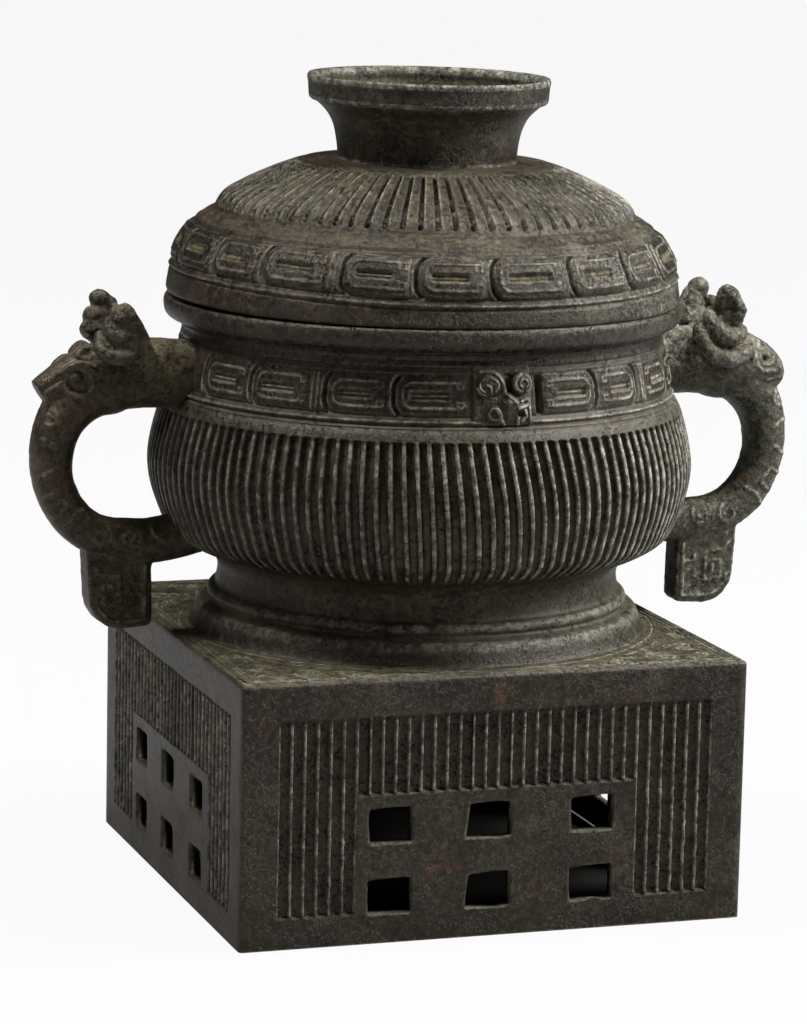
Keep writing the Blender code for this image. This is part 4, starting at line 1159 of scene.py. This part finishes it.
def mask(name, azimuth, plain):
    """Slab of relief bent round the band, closed behind."""
    wide, high = (80, 78) if plain else (112, 108)
    u, v = np.meshgrid(np.linspace(-0.5, 0.5, wide) * MASK_WIDTH, np.linspace(MASK_LOW, MASK_HIGH, high))
    up = v - (MASK_LOW + MASK_HIGH) / 2
    height, dust, worn, bare = mask_relief(u, up)
    if plain:
        height, worn = 0.6 + 0.6 * (height - 0.6), 0.6 * worn
    edge = rounded_box(u, up, -MASK_WIDTH / 2, MASK_WIDTH / 2, (MASK_HIGH - MASK_LOW) / 2, 2.2, 2.2)
    height = height * ease(-edge / 1.1) - 2.5 * (1 - ease(-edge / 0.4))
    wall = np.interp(v, (222.4, 228, 234, 241, 245), (111.9, 110.8, 109.6, 108.2, 107.4))
    angle = math.radians(azimuth) + u / BAND_RADIUS
    front, back = (round_points(wall + lift, v, angle) for lift in (0.1 + height, -3))
    index = numbered(u)
    behind = index + u.size
    rim = outline_of(index, (0, high - 1), (0, wide - 1))[::-1]
    faces = [quads(index, wrap_columns=False), quads(behind, wrap_columns=False)[:, ::-1],
             quads(np.stack((rim + u.size, rim)))]
    return make_mesh(name, np.r_[front, back], faces, dust, worn, bare, form=0.5)


fit(mask("front_mask", -0.6, False), vessel_bronze)
fit(mask("back_mask", 180, True), vessel_bronze)


# ================================================================ camera, floor and light
# Plain studio: one large soft light low on the right, two small ones overhead that draw the
# shine along rims and mouldings, and a faint fill on the left. The floor and backdrop are pale,
# but for a dark square on the floor under the base, which is painted shade.
scene = bpy.context.scene
VIEW_AZIMUTH = -0.3293831
VIEW_YAW = 0.0036113
VIEW_PITCH = 0.1763210
VIEW_ROLL = 0.0218734
VIEW_DISTANCE = 1.7727170
VIEW_HEIGHT = 0.4802487
FOCAL_LENGTH = 141.02

camera = bpy.data.objects.new("camera", bpy.data.cameras.new("camera"))
scene.collection.objects.link(camera)
scene.camera = camera
camera.data.sensor_width = 36
camera.data.lens = FOCAL_LENGTH
heading = VIEW_AZIMUTH + VIEW_YAW
forward = Vector((-math.sin(heading) * math.cos(VIEW_PITCH), math.cos(heading) * math.cos(VIEW_PITCH),
                  -math.sin(VIEW_PITCH)))
level = Vector((math.cos(heading), math.sin(heading), 0))
upward = level.cross(forward)
across = level * math.cos(VIEW_ROLL) + upward * math.sin(VIEW_ROLL)
along = upward * math.cos(VIEW_ROLL) - level * math.sin(VIEW_ROLL)
stand = Vector((VIEW_DISTANCE * math.sin(VIEW_AZIMUTH), -VIEW_DISTANCE * math.cos(VIEW_AZIMUTH), VIEW_HEIGHT))
camera.matrix_world = Matrix.Translation(stand) @ Matrix((across, along, -forward)).transposed().to_4x4()


def lamp(name, azimuth, elevation, distance, size, power):
    """Square soft light that faces the vessel's middle."""
    light = bpy.data.lights.new(name, "AREA")
    light.shape, light.size, light.energy = "SQUARE", size, power
    holder = bpy.data.objects.new(name, light)
    a, e = math.radians(azimuth), math.radians(elevation)
    back = Vector((math.sin(a) * math.cos(e), -math.cos(a) * math.cos(e), math.sin(e)))
    holder.location = Vector((0, 0, 0.2)) + back * distance
    holder.rotation_euler = back.to_track_quat("Z", "Y").to_euler()
    scene.collection.objects.link(holder)


lamp("key", 74, 36, 2.2, 1.3, 108)
lamp("upper_left", -98, 60, 1.9, 0.4, 36)
lamp("upper_right", 48, 70, 1.9, 0.4, 20)
lamp("fill", -74, 26, 2.2, 0.4, 5)

world = bpy.data.worlds.new("studio")
scene.world = world
world.use_nodes = True
backdrop = world.node_tree.nodes["Background"]
seen = world.node_tree.nodes.new("ShaderNodeLightPath")
paper = world.node_tree.nodes.new("ShaderNodeMix")
paper.data_type = "RGBA"
paper.inputs[6].default_value = (0.03, 0.03, 0.03, 1)
paper.inputs[7].default_value = (1, 1, 1, 1)
world.node_tree.links.new(seen.outputs["Is Camera Ray"], paper.inputs["Factor"])
world.node_tree.links.new(paper.outputs[2], backdrop.inputs["Color"])

floor_mesh = bpy.data.meshes.new("floor")
floor_mesh.from_pydata([(-9, -9, 0), (9, -9, 0), (9, 60, 0), (-9, 60, 0)], [], [(0, 1, 2, 3)])
floor = bpy.data.objects.new("floor", floor_mesh)
scene.collection.objects.link(floor)
paper_floor = Finish("pale floor")
sideways, depth = (paper_floor.part(paper_floor.where, axis).math("ABSOLUTE") for axis in "XY")
# The dark square under the base, where it stands in its own shade, is painted shade; there the floor does not
# glow either.
under = 1 - sideways.math("MAXIMUM", depth).step(0.108, 0.112)
paper_floor.feed(paper_floor.shader.inputs["Base Color"],
                 paper_floor.blend(under, (0.32, 0.32, 0.32), (0.02, 0.018, 0.015)))
paper_floor.shader.inputs["Roughness"].default_value = 1.0
glow = paper_floor.node("ShaderNodeEmission", {}, {"Color": (1, 1, 1, 1), "Strength": 1.0})
looked_at = paper_floor.node("ShaderNodeLightPath", {}, {}, "Is Camera Ray")
mixed = paper_floor.node("ShaderNodeMixShader", {}, {0: looked_at * (1 - under) * 0.93,
                                                     1: paper_floor.shader.outputs[0], 2: glow})
paper_floor.feed(paper_floor.nodes["Material Output"].inputs["Surface"], mixed)
floor_mesh.materials.append(paper_floor.material)
scene.view_settings.view_transform = "Standard"
